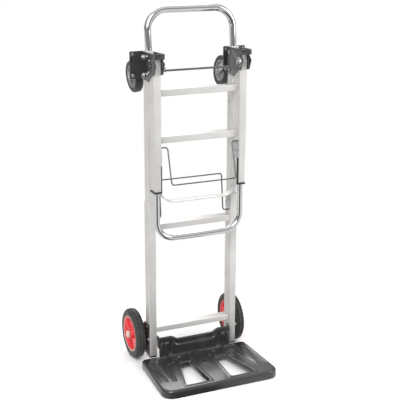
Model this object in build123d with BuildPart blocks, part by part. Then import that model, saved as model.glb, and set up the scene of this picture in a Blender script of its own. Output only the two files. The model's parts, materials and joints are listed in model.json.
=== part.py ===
from build123d import *
import os

# Convertible two-in-one hand truck, standing upright on its nose plate and main wheels.
# Millimetres. X runs across the truck, -Y is the front (load side), +Z is up, Z = 0 is the floor.
# The origin is the middle of the footprint. "left" is -X and "right" is +X, as seen from the front.

os.makedirs("parts", exist_ok=True)

# ---------------------------------------------------------------- driving dimensions
rail_pitch = 304.0            # between the middles of the two rails
slide_gap = 0.5               # clearance on each side between telescoping tubes
face_gap = 0.4                # clearance between faces that swing or slide past each other
shaft_gap = 0.06              # radial clearance of a shaft that turns in its bore
bolt_gap = 0.2                # radial clearance round a fixed bolt

# lower (outer) rails of the deck
lower_rail_width = 26.0
lower_rail_depth = 42.0
lower_rail_wall = 1.5
tube_corner = 3.0
lower_rail_bottom = 33.0
lower_rail_top = 593.0
rail_guide_height = 4.0
foot_height = 6.0
foot_insert = 16.0

# inner rails of the deck, which slide in the lower rails
inner_rail_wall = 1.4
rail_overlap = 123.0
inner_rail_top = 1062.0
deck_travel = 350.0

# crossbars of the lower rails
lower_bar_depth = 34.0
lower_bar_height = 20.0
lower_bar_wall = 1.5
lower_bar_corner = 2.0
lower_bar_levels = (129.0, 507.0)

# main wheels
tyre_radius = 89.0
tyre_width = 36.0
tyre_thickness = 26.0
tyre_shoulder = 9.0
tread_groove_width = 3.0
tread_groove_depth = 2.5
axle_radius = 6.0
axle_back = 94.0              # axle behind the front face of the lower rails
axle_bracket_thick = 3.0
axle_bracket_top = 150.0
axle_bracket_boss = 18.0
axle_bracket_setback = 4.0
hub_gap = 0.5
axle_spacer_length = 5.0
axle_spacer_radius = 11.0
axle_cap_radius = 12.0
axle_cap_height = 8.0
hub_barrel_radius = 17.0
hub_web_thick = 6.0
hub_rim_thick = 6.0
hub_rib_count = 5
hub_rib_thick = 5.0

# nose plate
nose_reach = 259.0            # front edge in front of the lower rails
nose_back_gap = 2.0           # back edge in front of the lower rails
nose_overhang_front = 45.0    # plate's sides outboard of the rails
nose_overhang_back = 33.0
nose_height = 26.0
nose_sheet = 2.5
nose_front_corner = 36.0
nose_back_corner = 14.0
nose_edge_radius = 7.0
window_back_offset = 80.0     # window edges, in front of the lower rails
window_front_margin = 22.0    # window edge behind the plate's front edge
window_back_inner = 45.0
window_back_outer = 87.0
window_front_inner = 38.0
window_front_outer = 129.0
window_corner = 8.0
window_lip_depth = 10.0
bead_inset = 34.0             # bead's middle inboard of the plate's front corners
bead_start = 41.0
bead_front_margin = 72.0
bead_width = 12.0
bead_depth = 1.2
rib_width = 28.0
rib_rise = 1.5
rib_end = 105.0
back_wall_offset = 13.0       # front of the upright wall, in front of the lower rails
back_wall_top = 91.0
back_wall_gap = 3.0
ear_top = 104.0
ear_length = 46.0
ear_slope = 14.0
nose_pin_radius = 4.0
nose_pin_back = 8.0
nose_pin_level = 95.0
nose_pin_head = 3.0

# castors and the brackets that carry them
bracket_sheet = 3.0
bracket_gap = 0.4
bracket_top = 1101.0
bracket_bottom = 1012.0
castor_plate_width = 80.0
castor_outset = 15.0          # castor's middle outboard of the rail's middle
castor_bolt_pitch_x = 60.0
castor_bolt_pitch_z = 68.0
castor_bolt_radius = 3.0
castor_radius = 53.0
castor_width = 27.0
castor_build_height = 131.0   # bracket's back face to the far side of the wheel
castor_trail = 51.0
castor_toe_in = 5.0             # degrees that the hanging castors swing inwards at rest
castor_axle_radius = 4.0
castor_sheet = 2.5
castor_race_radius = 27.0
castor_race_height = 6.0
castor_kingpin_radius = 5.0
castor_side_gap = 2.5
castor_hub_radius = 36.0
strap_front = 83.0            # front of the strap, in front of the lower rails
strap_bottom = 1089.0
strap_top = 1106.0

# swinging push frame
push_front = 60.0             # front of the push tubes, in front of the lower rails
push_tube_width = 26.0
push_tube_depth = 42.0
push_tube_wall = 1.3
push_tube_bottom = 739.0
push_tube_top = 1090.0
push_cap_height = 3.5
push_bar_depth = 28.0
push_bar_height = 22.0
push_bar_levels = (820.5, 975.5)
pivot_level = 1062.0
pivot_radius = 5.0
pivot_bush_radius = 8.0
pivot_cap_radius = 17.0
pivot_cap_height = 6.0

# second stage of the push frame
slide_tube_gap = 0.4
slide_tube_wall = 1.2
slide_tube_bottom = 650.0
slide_tube_top = 1040.0
slide_travel = 250.0
end_cap_height = 6.0
end_cap_insert = 12.0
bridge_sheet = 3.0
bridge_width = 30.0
bridge_inset = 5.0            # strap's middle behind the middle of the second tubes
edge_strip_width = 6.5
bridge_level = 606.0
bridge_bend = 50.0
bridge_rivet_radius = 2.5
bridge_rivet_levels = (675.0, 710.0)

# chromed handles
grip_radius = 9.5
grip_wall = 1.5
grip_level = 480.5
grip_bend = 62.0
grip_top = 1000.0
grip_offset = 46.0            # middle of the grip's arms, in front of the lower rails
grip_guide_height = 15.0
loop_radius = 11.5
loop_wall = 1.5
loop_level = 1232.0
loop_bend = 66.0
loop_inset = 1.0              # handle's legs inboard of the middle of the rails
loop_lean = 13.0              # top of the handle behind its legs
loop_lean_level = 1112.0      # height where the legs start to lean

# release wires, lock pins and their plates
wire_radius = 2.3
wire_bend = 9.0
bail_half = 116.0
upper_bail_level = 797.0
upper_bail_offset = 53.0
upper_bail_foot_level = 678.0
upper_bail_foot_offset = 90.0
lower_bail_level = 537.0
lower_bail_back = 12.0
lower_bail_top_level = 665.0
lower_bail_top_back = 27.0
lock_plate_sheet = 1.5
pin_radius = 2.5
upper_pin_level = 765.0
upper_pin_offset = 43.0
lower_pin_level = 567.0
lower_pin_back = 23.0
rod_radius = 3.5
rod_level = 1051.0
rod_offset = 65.0
rod_travel = 8.0

# ---------------------------------------------------------------- worked-out sizes
rail_x = rail_pitch / 2
rim_radius = tyre_radius - tyre_thickness
nose_half_front = rail_x + lower_rail_width / 2 + nose_overhang_front
nose_half_back = rail_x + lower_rail_width / 2 + nose_overhang_back
rail_front = (nose_reach - axle_back - tyre_radius) / 2     # keeps the origin mid-footprint
rail_inner_x = rail_x - lower_rail_width / 2
rail_outer_x = rail_x + lower_rail_width / 2
rail_mid_y = rail_front + lower_rail_depth / 2
inner_rail_width = lower_rail_width - 2 * (lower_rail_wall + slide_gap)
inner_rail_depth = lower_rail_depth - 2 * (lower_rail_wall + slide_gap)
inner_rail_bottom = lower_rail_top - rail_overlap
wheel_inner_x = rail_outer_x + axle_bracket_thick + axle_spacer_length + hub_gap
wheel_mid_x = wheel_inner_x + tyre_width / 2
wheel_outer_x = wheel_inner_x + tyre_width
axle_y = rail_front + axle_back
nose_pin_y = rail_front + nose_pin_back
push_mid_y = rail_front - push_front + push_tube_depth / 2
push_back_y = rail_front - push_front + push_tube_depth
push_inner_x = rail_x - push_tube_width / 2
push_outer_x = rail_x + push_tube_width / 2
cheek_inner_x = push_inner_x - bracket_gap
cheek_outer_x = push_outer_x + bracket_gap
castor_plate_y = rail_front + lower_rail_depth + 3.0
castor_x = rail_x + castor_outset
castor_swivel_z = (bracket_top + bracket_bottom) / 2
castor_y = castor_plate_y + bracket_sheet + castor_build_height - castor_radius
castor_z = castor_swivel_z - castor_trail
slide_tube_width = push_tube_width - 2 * (push_tube_wall + slide_tube_gap)
slide_tube_depth = push_tube_depth - 2 * (push_tube_wall + slide_tube_gap)
slide_inner_x = rail_x - slide_tube_width / 2
loop_x = rail_x - loop_inset
grip_y = rail_front - grip_offset
hands = ((-1, "left"), (1, "right"))


def keep(piece, name, axis=None, angle=0.0):
    """Label a finished piece, turn it about an axis if one is given, and write it as one STEP file."""
    part = piece.part if axis is None else piece.part.rotate(axis, angle)
    part.label = name
    export_step(part, f"parts/{name}.step")


def tube_profile(x, y, width, depth, wall, corner):
    """Rounded rectangular tube section, centred on x, y in the open sketch."""
    with Locations((x, y)):
        RectangleRounded(width, depth, corner)
        RectangleRounded(width - 2 * wall, depth - 2 * wall, corner - wall / 2, mode=Mode.SUBTRACT)


def span(side, near, far):
    """Lower X of a slab that lies between near and far on one side of the truck."""
    return min(side * near, side * far)


# ---------------------------------------------------------------- lower frame
for side, hand in hands:
    with BuildPart() as lower_rail:
        with BuildSketch(Plane.XY.offset(lower_rail_bottom)):
            tube_profile(side * rail_x, rail_mid_y, lower_rail_width, lower_rail_depth,
                         lower_rail_wall, tube_corner)
        extrude(amount=lower_rail_top - lower_rail_bottom)
        inner_wall_x = span(side, rail_inner_x - 1, rail_inner_x + lower_rail_wall + 1)
        with BuildSketch(Plane.YZ.offset(inner_wall_x)):
            with Locations((rail_front + lower_bail_back, lower_bail_level)):
                Circle(wire_radius + face_gap)
            with Locations((rail_front + lower_pin_back, lower_pin_level)):
                Circle(pin_radius + face_gap)
        extrude(amount=lower_rail_wall + 2, mode=Mode.SUBTRACT)
        with BuildSketch(Plane.YZ.offset(span(side, rail_inner_x - 1, rail_outer_x + 1))):
            with Locations((nose_pin_y, nose_pin_level)):
                Circle(nose_pin_radius + bolt_gap)
        extrude(amount=lower_rail_width + 2, mode=Mode.SUBTRACT)
    keep(lower_rail, f"lower_rail_{hand}")

with BuildPart() as rail_guides:
    with BuildSketch(Plane.XY.offset(lower_rail_top)):
        for side, hand in hands:
            with Locations((side * rail_x, rail_mid_y)):
                RectangleRounded(lower_rail_width + 1, lower_rail_depth + 1, tube_corner + 0.5)
                RectangleRounded(inner_rail_width + 2 * face_gap, inner_rail_depth + 2 * face_gap,
                                 tube_corner - 1, mode=Mode.SUBTRACT)
    extrude(amount=rail_guide_height)
keep(rail_guides, "rail_guides")

with BuildPart() as lower_crossbars:
    with BuildSketch(Plane.YZ.offset(-rail_inner_x)):
        for level in lower_bar_levels:
            tube_profile(rail_mid_y - 1, level, lower_bar_depth, lower_bar_height,
                         lower_bar_wall, lower_bar_corner)
    extrude(amount=2 * rail_inner_x)
keep(lower_crossbars, "lower_crossbars")

with BuildPart() as rail_feet:
    for side, hand in hands:
        with BuildSketch(Plane.XY.offset(lower_rail_bottom - foot_height)):
            with Locations((side * rail_x, rail_mid_y)):
                RectangleRounded(lower_rail_width, lower_rail_depth, tube_corner)
        extrude(amount=foot_height)
        with BuildSketch(Plane.XY.offset(lower_rail_bottom)):
            with Locations((side * rail_x, rail_mid_y)):
                RectangleRounded(lower_rail_width - 2 * lower_rail_wall - 2 * bolt_gap,
                                 lower_rail_depth - 2 * lower_rail_wall - 2 * bolt_gap,
                                 tube_corner - 1)
        extrude(amount=foot_insert)
keep(rail_feet, "rail_feet")

rivet_radius = 2.5
rivet_head_radius = 5.0
rivet_head_height = 2.0
axle_rivet_levels = (axle_bracket_top - 12, lower_rail_bottom + 14)
for side, hand in hands:
    with BuildPart() as axle_bracket:
        plate_x = span(side, rail_outer_x, rail_outer_x + axle_bracket_thick)
        plate_bottom = lower_rail_bottom + 2
        with BuildSketch(Plane.YZ.offset(plate_x)):
            with Locations((rail_front + axle_bracket_setback, plate_bottom)):
                Rectangle(lower_rail_depth - axle_bracket_setback + axle_bracket_thick,
                          axle_bracket_top - plate_bottom, align=(Align.MIN, Align.MIN))
            with Locations((axle_y, tyre_radius)):
                Circle(axle_bracket_boss)
            make_hull()
            with Locations((axle_y, tyre_radius)):
                Circle(axle_radius + bolt_gap, mode=Mode.SUBTRACT)
            with Locations((nose_pin_y, nose_pin_level)):
                Circle(nose_pin_radius + bolt_gap, mode=Mode.SUBTRACT)
            for level in axle_rivet_levels:
                with Locations((rail_mid_y, level)):
                    Circle(rivet_radius + bolt_gap, mode=Mode.SUBTRACT)
        extrude(amount=axle_bracket_thick)
        with BuildSketch(Plane.XY.offset(plate_bottom + 20)):
            flange_x = span(side, rail_inner_x + 4, rail_outer_x + axle_bracket_thick)
            with Locations((flange_x, rail_front + lower_rail_depth)):
                Rectangle(lower_rail_width - 4 + axle_bracket_thick, axle_bracket_thick,
                          align=(Align.MIN, Align.MIN))
        extrude(amount=axle_bracket_top - plate_bottom - 20)
    keep(axle_bracket, f"axle_bracket_{hand}")

with BuildPart() as frame_rivets:
    for side, hand in hands:
        bracket_face = rail_outer_x + axle_bracket_thick
        for level in axle_rivet_levels:
            with BuildSketch(Plane.YZ.offset(span(side, bracket_face, bracket_face + rivet_head_height))):
                with Locations((rail_mid_y, level)):
                    Circle(rivet_head_radius)
            extrude(amount=rivet_head_height)
            with BuildSketch(Plane.YZ.offset(span(side, rail_outer_x, bracket_face))):
                with Locations((rail_mid_y, level)):
                    Circle(rivet_radius)
            extrude(amount=axle_bracket_thick)
keep(frame_rivets, "frame_rivets")

axle_half = wheel_outer_x + hub_gap
with BuildPart() as main_axle:
    with BuildSketch(Plane.YZ.offset(-axle_half)):
        with Locations((axle_y, tyre_radius)):
            Circle(axle_radius)
    extrude(amount=2 * axle_half)
keep(main_axle, "main_axle")

with BuildPart() as axle_caps:
    for side, hand in hands:
        with BuildSketch(Plane.YZ.offset(span(side, axle_half, axle_half + axle_cap_height))):
            with Locations((axle_y, tyre_radius)):
                Circle(axle_cap_radius)
        extrude(amount=axle_cap_height)
    cap_rims = axle_caps.faces().filter_by(Axis.X).sort_by(Axis.X)
    chamfer((cap_rims[0].edges(), cap_rims[-1].edges()), 2.5)
keep(axle_caps, "axle_caps")

with BuildPart() as axle_spacers:
    for side, hand in hands:
        spacer_x = rail_outer_x + axle_bracket_thick
        with BuildSketch(Plane.YZ.offset(span(side, spacer_x, spacer_x + axle_spacer_length))):
            with Locations((axle_y, tyre_radius)):
                Circle(axle_spacer_radius)
                Circle(axle_radius + bolt_gap, mode=Mode.SUBTRACT)
        extrude(amount=axle_spacer_length)
keep(axle_spacers, "axle_spacers")

# ---------------------------------------------------------------- main wheels
for side, hand in hands:
    wheel_plane = Plane(origin=(side * wheel_mid_x, axle_y, tyre_radius), x_dir=(1, 0, 0), z_dir=(0, -1, 0))
    half_tyre = tyre_width / 2
    wheel_axis = Axis((side * wheel_mid_x, axle_y, tyre_radius), (1, 0, 0))
    with BuildPart() as tyre:
        with BuildSketch(wheel_plane) as tyre_section:
            with Locations((0, (tyre_radius + rim_radius) / 2)):
                RectangleRounded(tyre_width, tyre_radius - rim_radius, tyre_shoulder)
            with Locations((0, rim_radius + tyre_shoulder / 2)):
                Rectangle(tyre_width - 6, tyre_shoulder)
            with GridLocations(tyre_width / 4, 1, 3, 1):
                with Locations((0, tyre_radius - tread_groove_depth / 2)):
                    Rectangle(tread_groove_width, tread_groove_depth, mode=Mode.SUBTRACT)
        revolve(axis=wheel_axis)
    keep(tyre, f"tyre_{hand}")

    with BuildPart() as wheel_hub:
        with BuildSketch(wheel_plane):
            with Locations((0, rim_radius - hub_rim_thick / 2)):
                Rectangle(tyre_width - 6, hub_rim_thick)
            with Locations((-side * 3, (rim_radius + axle_radius) / 2)):
                Rectangle(hub_web_thick, rim_radius - axle_radius - hub_rim_thick)
            with Locations((0, hub_barrel_radius / 2 + (axle_radius + shaft_gap) / 2)):
                Rectangle(tyre_width, hub_barrel_radius - axle_radius - shaft_gap)
        revolve(axis=wheel_axis)
        rib_reach = rim_radius - hub_rim_thick / 2 - hub_barrel_radius + 2
        rib_depth = tyre_width / 2 - 5
        rib_face = side * wheel_mid_x + (0 if side > 0 else -rib_depth)
        with BuildSketch(Plane.YZ.offset(rib_face)):
            with Locations((axle_y, tyre_radius)):
                with PolarLocations(hub_barrel_radius + rib_reach / 2 - 1, hub_rib_count, 90):
                    Rectangle(rib_reach, hub_rib_thick)
        extrude(amount=rib_depth)
    keep(wheel_hub, f"wheel_hub_{hand}")

# ---------------------------------------------------------------- nose plate
nose_front_y = rail_front - nose_reach
nose_back_y = rail_front - nose_back_gap
bead_side = nose_half_front - bead_inset
window_back_y = rail_front - window_back_offset
window_front_y = nose_front_y + window_front_margin


def window_profile(side, grow):
    """Rounded window outline of the nose plate, grown outwards by grow."""
    Polygon((side * (window_back_inner - grow), window_back_y + grow),
            (side * (window_back_outer + grow), window_back_y + grow),
            (side * (window_front_outer + grow), window_front_y - grow),
            (side * (window_front_inner - grow), window_front_y - grow), align=None)


with BuildPart() as nose_plate:
    with BuildSketch() as nose_outline:
        with BuildLine():
            Polyline((-nose_half_back, nose_back_y), (nose_half_back, nose_back_y),
                     (nose_half_front, nose_front_y), (-nose_half_front, nose_front_y),
                     (-nose_half_back, nose_back_y))
        make_face()
        corner_points = nose_outline.vertices().sort_by(Axis.Y)
        fillet(corner_points[:2], nose_front_corner)
        fillet(nose_outline.vertices().sort_by(Axis.Y)[-2:], nose_back_corner)
    extrude(amount=nose_height)
    fillet(nose_plate.faces().sort_by(Axis.Z)[-1].edges(), nose_edge_radius)
    offset(amount=-nose_sheet, openings=nose_plate.faces().sort_by(Axis.Z)[0])
    for side, hand in hands:
        with BuildSketch(Plane.XY.offset(nose_height - window_lip_depth)) as lip:
            window_profile(side, nose_sheet)
            fillet(lip.vertices(), window_corner + nose_sheet)
        extrude(amount=window_lip_depth)
        with BuildSketch(Plane.XY.offset(nose_height - window_lip_depth)) as window:
            window_profile(side, 0)
            fillet(window.vertices(), window_corner)
        extrude(amount=window_lip_depth, mode=Mode.SUBTRACT)
        with BuildSketch(Plane.XY.offset(nose_height - bead_depth)):
            bead_back_y = rail_front - bead_start
            bead_front_y = nose_front_y + bead_front_margin
            with Locations((side * bead_side, (bead_back_y + bead_front_y) / 2)):
                SlotOverall(bead_back_y - bead_front_y, bead_width, rotation=90)
        extrude(amount=bead_depth, mode=Mode.SUBTRACT)
    rib_start = back_wall_offset + 6
    with BuildSketch(Plane.XY.offset(nose_height)):
        with Locations((0, rail_front - (rib_start + rib_end) / 2)):
            SlotOverall(rib_end - rib_start, rib_width, rotation=90)
    extrude(amount=rib_rise)
keep(nose_plate, "nose_plate")

wall_half = rail_inner_x - back_wall_gap
wall_front_y = rail_front - back_wall_offset
with BuildPart() as nose_back:
    with BuildSketch(Plane.XZ.offset(-wall_front_y - nose_sheet)) as wall_outline:
        with BuildLine():
            Polyline((-wall_half, nose_height), (-wall_half, ear_top),
                     (-wall_half + ear_length, ear_top),
                     (-wall_half + ear_length + ear_slope, back_wall_top),
                     (wall_half - ear_length - ear_slope, back_wall_top),
                     (wall_half - ear_length, ear_top), (wall_half, ear_top),
                     (wall_half, nose_height), (-wall_half, nose_height))
        make_face()
    extrude(amount=nose_sheet)
    for side, hand in hands:
        with BuildSketch(Plane.YZ.offset(span(side, wall_half - nose_sheet, wall_half))) as ear:
            ear_radius = ear_top - nose_pin_level
            with Locations((nose_pin_y, nose_pin_level)):
                Circle(ear_radius)
            with Locations((wall_front_y, ear_top)):
                Rectangle(nose_pin_y - wall_front_y, 3 * ear_radius, align=(Align.MIN, Align.MAX))
            with Locations((nose_pin_y, nose_pin_level)):
                Circle(nose_pin_radius + shaft_gap, mode=Mode.SUBTRACT)
        extrude(amount=nose_sheet)
keep(nose_back, "nose_back")

with BuildPart() as nose_pins:
    pin_end = wall_half - nose_sheet - 4
    head_face = rail_outer_x + axle_bracket_thick
    for side, hand in hands:
        with BuildSketch(Plane.YZ.offset(span(side, pin_end, head_face))):
            with Locations((nose_pin_y, nose_pin_level)):
                Circle(nose_pin_radius)
        extrude(amount=head_face - pin_end)
        with BuildSketch(Plane.YZ.offset(span(side, head_face, head_face + nose_pin_head))):
            with Locations((nose_pin_y, nose_pin_level)):
                RegularPolygon(2 * nose_pin_radius - 1, 6)
        extrude(amount=nose_pin_head)
        with BuildSketch(Plane.YZ.offset(span(side, pin_end, pin_end + 3.5))):
            with Locations((nose_pin_y, nose_pin_level)):
                Circle(2 * nose_pin_radius)
        extrude(amount=3.5)
keep(nose_pins, "nose_pins")

# ---------------------------------------------------------------- sliding inner rails
for side, hand in hands:
    with BuildPart() as inner_rail:
        with BuildSketch(Plane.XY.offset(inner_rail_bottom)):
            tube_profile(side * rail_x, rail_mid_y, inner_rail_width, inner_rail_depth,
                         inner_rail_wall, tube_corner - 1)
        extrude(amount=inner_rail_top - inner_rail_bottom)
        inner_face = rail_x - inner_rail_width / 2
        with BuildSketch(Plane.YZ.offset(span(side, inner_face - 1, inner_face + inner_rail_wall + 1))):
            with Locations((rail_front + lower_pin_back, lower_pin_level),
                           (rail_front + lower_pin_back, lower_pin_level + deck_travel)):
                Circle(pin_radius + face_gap)
        extrude(amount=inner_rail_wall + 2, mode=Mode.SUBTRACT)
        with BuildSketch(Plane.YZ.offset(span(side, rail_inner_x, rail_outer_x))):
            with Locations((rail_mid_y - 5, bracket_bottom + 15)):
                Circle(castor_bolt_radius + bolt_gap)
        extrude(amount=lower_rail_width, mode=Mode.SUBTRACT)
    keep(inner_rail, f"inner_rail_{hand}")

rail_bolt_y = rail_mid_y - 5
rail_bolt_levels = (bracket_bottom + 15, bracket_top - 16)
head_top = bracket_top + 3
with BuildPart() as rail_heads:
    for side, hand in hands:
        with BuildSketch(Plane.XY.offset(bracket_bottom + 2)):
            with Locations((side * rail_x, rail_mid_y + 0.5)):
                RectangleRounded(push_tube_width + 2 * bracket_gap, lower_rail_depth - 1, tube_corner)
        extrude(amount=head_top - bracket_bottom - 2)
    fillet(rail_heads.edges().group_by(Axis.Z)[-1], 1.5)
    for side, hand in hands:
        with BuildSketch(Plane.XY.offset(bracket_bottom + 2)):
            with Locations((side * rail_x, rail_mid_y)):
                RectangleRounded(inner_rail_width, inner_rail_depth, tube_corner - 1)
        extrude(amount=inner_rail_top - bracket_bottom - 2, mode=Mode.SUBTRACT)
        with BuildSketch(Plane.XY.offset(inner_rail_top)):
            with Locations((side * loop_x, rail_mid_y)):
                Circle(loop_radius + 0.1)
        extrude(amount=head_top - inner_rail_top, mode=Mode.SUBTRACT)
        with BuildSketch(Plane.YZ.offset(span(side, cheek_inner_x, cheek_outer_x))):
            for level in rail_bolt_levels:
                with Locations((rail_bolt_y, level)):
                    Circle(castor_bolt_radius + bolt_gap)
        extrude(amount=cheek_outer_x - cheek_inner_x, mode=Mode.SUBTRACT)
keep(rail_heads, "rail_heads")

with BuildPart() as top_handle:
    with BuildLine() as loop_path:
        FilletPolyline((-loop_x, rail_mid_y, inner_rail_top), (-loop_x, rail_mid_y, loop_lean_level),
                       (-loop_x, rail_mid_y + loop_lean, loop_level),
                       (loop_x, rail_mid_y + loop_lean, loop_level),
                       (loop_x, rail_mid_y, loop_lean_level), (loop_x, rail_mid_y, inner_rail_top),
                       radius=loop_bend)
    with BuildSketch(Plane(origin=(-loop_x, rail_mid_y, inner_rail_top), z_dir=(0, 0, 1))):
        Circle(loop_radius)
        Circle(loop_radius - loop_wall, mode=Mode.SUBTRACT)
    sweep()
    with BuildSketch(Plane.YZ.offset(-cheek_outer_x)):
        with Locations((rail_bolt_y, rail_bolt_levels[1])):
            Circle(castor_bolt_radius + bolt_gap)
    extrude(amount=2 * cheek_outer_x, mode=Mode.SUBTRACT)
keep(top_handle, "top_handle")

# ---------------------------------------------------------------- castor brackets
bolt_head_radius = 6.0
bolt_head_height = 3.0
stud_length = 2.5
plate_back_y = castor_plate_y + bracket_sheet
pivot_y = push_mid_y
castor_bolt_x = (castor_x - castor_bolt_pitch_x / 2, castor_x + castor_bolt_pitch_x / 2)
castor_bolt_z = (castor_swivel_z - castor_bolt_pitch_z / 2, castor_swivel_z + castor_bolt_pitch_z / 2)


def cheek_profile(back_y):
    """Side plate of a castor bracket, with its pointed front lobe and its strap end."""
    Polygon((plate_back_y, castor_bolt_z[0] + 10), (plate_back_y, castor_bolt_z[1] - 10),
            (back_y, castor_bolt_z[1] - 10), (back_y, bracket_top),
            (rail_front - strap_front, strap_top), (rail_front - strap_front, strap_bottom),
            (rail_front - push_front - 8, strap_bottom - 4),
            (rail_front - push_front - 24, pivot_level + 9),
            (rail_front - push_front - 10, pivot_level - 24),
            (rail_front - push_front + 12, pivot_level - 27),
            (rail_front - push_front + 40, bracket_bottom), (back_y, bracket_bottom),
            (back_y, castor_bolt_z[0] + 10), align=None)


for side, hand in hands:
    with BuildPart() as castor_bracket:
        with BuildSketch(Plane.XZ.offset(-plate_back_y)) as castor_pad:
            with Locations((side * castor_x, castor_swivel_z)):
                RectangleRounded(castor_plate_width, bracket_top - bracket_bottom, 4)
            with Locations((side * castor_bolt_x[0], castor_bolt_z[0]), (side * castor_bolt_x[0], castor_bolt_z[1]),
                           (side * castor_bolt_x[1], castor_bolt_z[0]), (side * castor_bolt_x[1], castor_bolt_z[1])):
                Circle(castor_bolt_radius + bolt_gap, mode=Mode.SUBTRACT)
        extrude(amount=bracket_sheet)
        for near in (cheek_inner_x - bracket_sheet, cheek_outer_x):
            with BuildSketch(Plane.YZ.offset(span(side, near, near + bracket_sheet))) as cheek:
                cheek_profile(castor_plate_y - 9 if near < rail_x else castor_plate_y)
                for level in rail_bolt_levels:
                    with Locations((rail_bolt_y, level)):
                        Circle(castor_bolt_radius + bolt_gap, mode=Mode.SUBTRACT)
                with Locations((pivot_y, pivot_level)):
                    Circle(pivot_radius + bolt_gap, mode=Mode.SUBTRACT)
                if near < rail_x:
                    with Locations((rail_front - rod_offset, rod_level + rod_travel / 2)):
                        SlotCenterToCenter(rod_travel, 2 * (rod_radius + face_gap), rotation=90,
                                           mode=Mode.SUBTRACT)
            extrude(amount=bracket_sheet)
        strap_width = cheek_outer_x - cheek_inner_x + 2 * bracket_sheet
        with BuildSketch(Plane.XY.offset(strap_bottom)):
            with Locations((side * rail_x, rail_front - strap_front)):
                Rectangle(strap_width, bracket_sheet, align=(Align.CENTER, Align.MIN))
        extrude(amount=strap_top - strap_bottom)
    keep(castor_bracket, f"castor_bracket_{hand}")

with BuildPart() as castor_bolts:
    for side, hand in hands:
        for bolt_x in castor_bolt_x:
            for bolt_z in castor_bolt_z:
                with BuildSketch(Plane.XZ.offset(-castor_plate_y)):
                    with Locations((side * bolt_x, bolt_z)):
                        Circle(bolt_head_radius)
                extrude(amount=bolt_head_height)
                with BuildSketch(Plane.XZ.offset(-castor_plate_y)):
                    with Locations((side * bolt_x, bolt_z)):
                        Circle(castor_bolt_radius)
                extrude(amount=-(bracket_sheet + castor_sheet))
                with BuildSketch(Plane.XZ.offset(-(plate_back_y + castor_sheet))):
                    with Locations((side * bolt_x, bolt_z)):
                        RegularPolygon(bolt_head_radius - 0.5, 6)
                extrude(amount=-bolt_head_height)
    fillet(castor_bolts.edges().group_by(Axis.Y)[0], 1.5)
keep(castor_bolts, "castor_bolts")

nut_height = 5.0
rail_washer_radius = 10.0
rail_washer_height = 2.0
with BuildPart() as rail_bolts:
    for side, hand in hands:
        outer_face = cheek_outer_x + bracket_sheet
        inner_face = cheek_inner_x - bracket_sheet
        for level in rail_bolt_levels:
            with BuildSketch(Plane.YZ.offset(span(side, inner_face, outer_face))):
                with Locations((rail_bolt_y, level)):
                    Circle(castor_bolt_radius)
            extrude(amount=outer_face - inner_face)
            with BuildSketch(Plane.YZ.offset(side * outer_face)):
                with Locations((rail_bolt_y, level)):
                    Circle(rail_washer_radius)
            extrude(amount=side * rail_washer_height)
            nut_face = outer_face + rail_washer_height
            with BuildSketch(Plane.YZ.offset(side * nut_face)):
                with Locations((rail_bolt_y, level)):
                    RegularPolygon(rail_washer_radius - 2, 6)
            extrude(amount=side * nut_height)
            with BuildSketch(Plane.YZ.offset(side * (nut_face + nut_height))):
                with Locations((rail_bolt_y, level)):
                    Circle(castor_bolt_radius + 1)
            extrude(amount=side * stud_length)
            with BuildSketch(Plane.YZ.offset(side * inner_face)):
                with Locations((rail_bolt_y, level)):
                    Circle(bolt_head_radius)
            extrude(amount=-side * bolt_head_height)
keep(rail_bolts, "rail_bolts")

with BuildPart() as pivot_bolts:
    for side, hand in hands:
        outer_face = cheek_outer_x + bracket_sheet
        inner_face = cheek_inner_x - bracket_sheet
        with BuildSketch(Plane.YZ.offset(span(side, inner_face, outer_face))):
            with Locations((pivot_y, pivot_level)):
                Circle(pivot_radius)
        extrude(amount=outer_face - inner_face)
        with BuildSketch(Plane.YZ.offset(side * outer_face)):
            with Locations((pivot_y, pivot_level)):
                Circle(2 * pivot_radius)
        extrude(amount=side * bolt_head_height, taper=20)
keep(pivot_bolts, "pivot_bolts")

cheek_rivet_spots = ((rail_front - 31, pivot_level + 17), (rail_front - 23, pivot_level - 21))
with BuildPart() as cheek_rivets:
    for side, hand in hands:
        with BuildSketch(Plane.YZ.offset(side * (cheek_outer_x + bracket_sheet))):
            with Locations(*cheek_rivet_spots):
                Circle(4.5)
        extrude(amount=side * 2, taper=25)
keep(cheek_rivets, "cheek_rivets")

# collars that guide the release rod, one on each inner cheek, with a slot for the rod's lift
with BuildPart() as pivot_caps:
    for side, hand in hands:
        with BuildSketch(Plane.YZ.offset(side * (cheek_inner_x - bracket_sheet))):
            with Locations((rail_front - rod_offset + 3, rod_level + rod_travel / 2 + 7)):
                Circle(pivot_cap_radius)
        extrude(amount=-side * pivot_cap_height, taper=20)
        with BuildSketch(Plane.YZ.offset(side * (cheek_inner_x - bracket_sheet - pivot_cap_height))):
            with Locations((rail_front - rod_offset, rod_level + rod_travel / 2)):
                SlotCenterToCenter(rod_travel, 2 * (rod_radius + face_gap), rotation=90)
        extrude(amount=side * pivot_cap_height, mode=Mode.SUBTRACT)
keep(pivot_caps, "pivot_caps")

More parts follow.
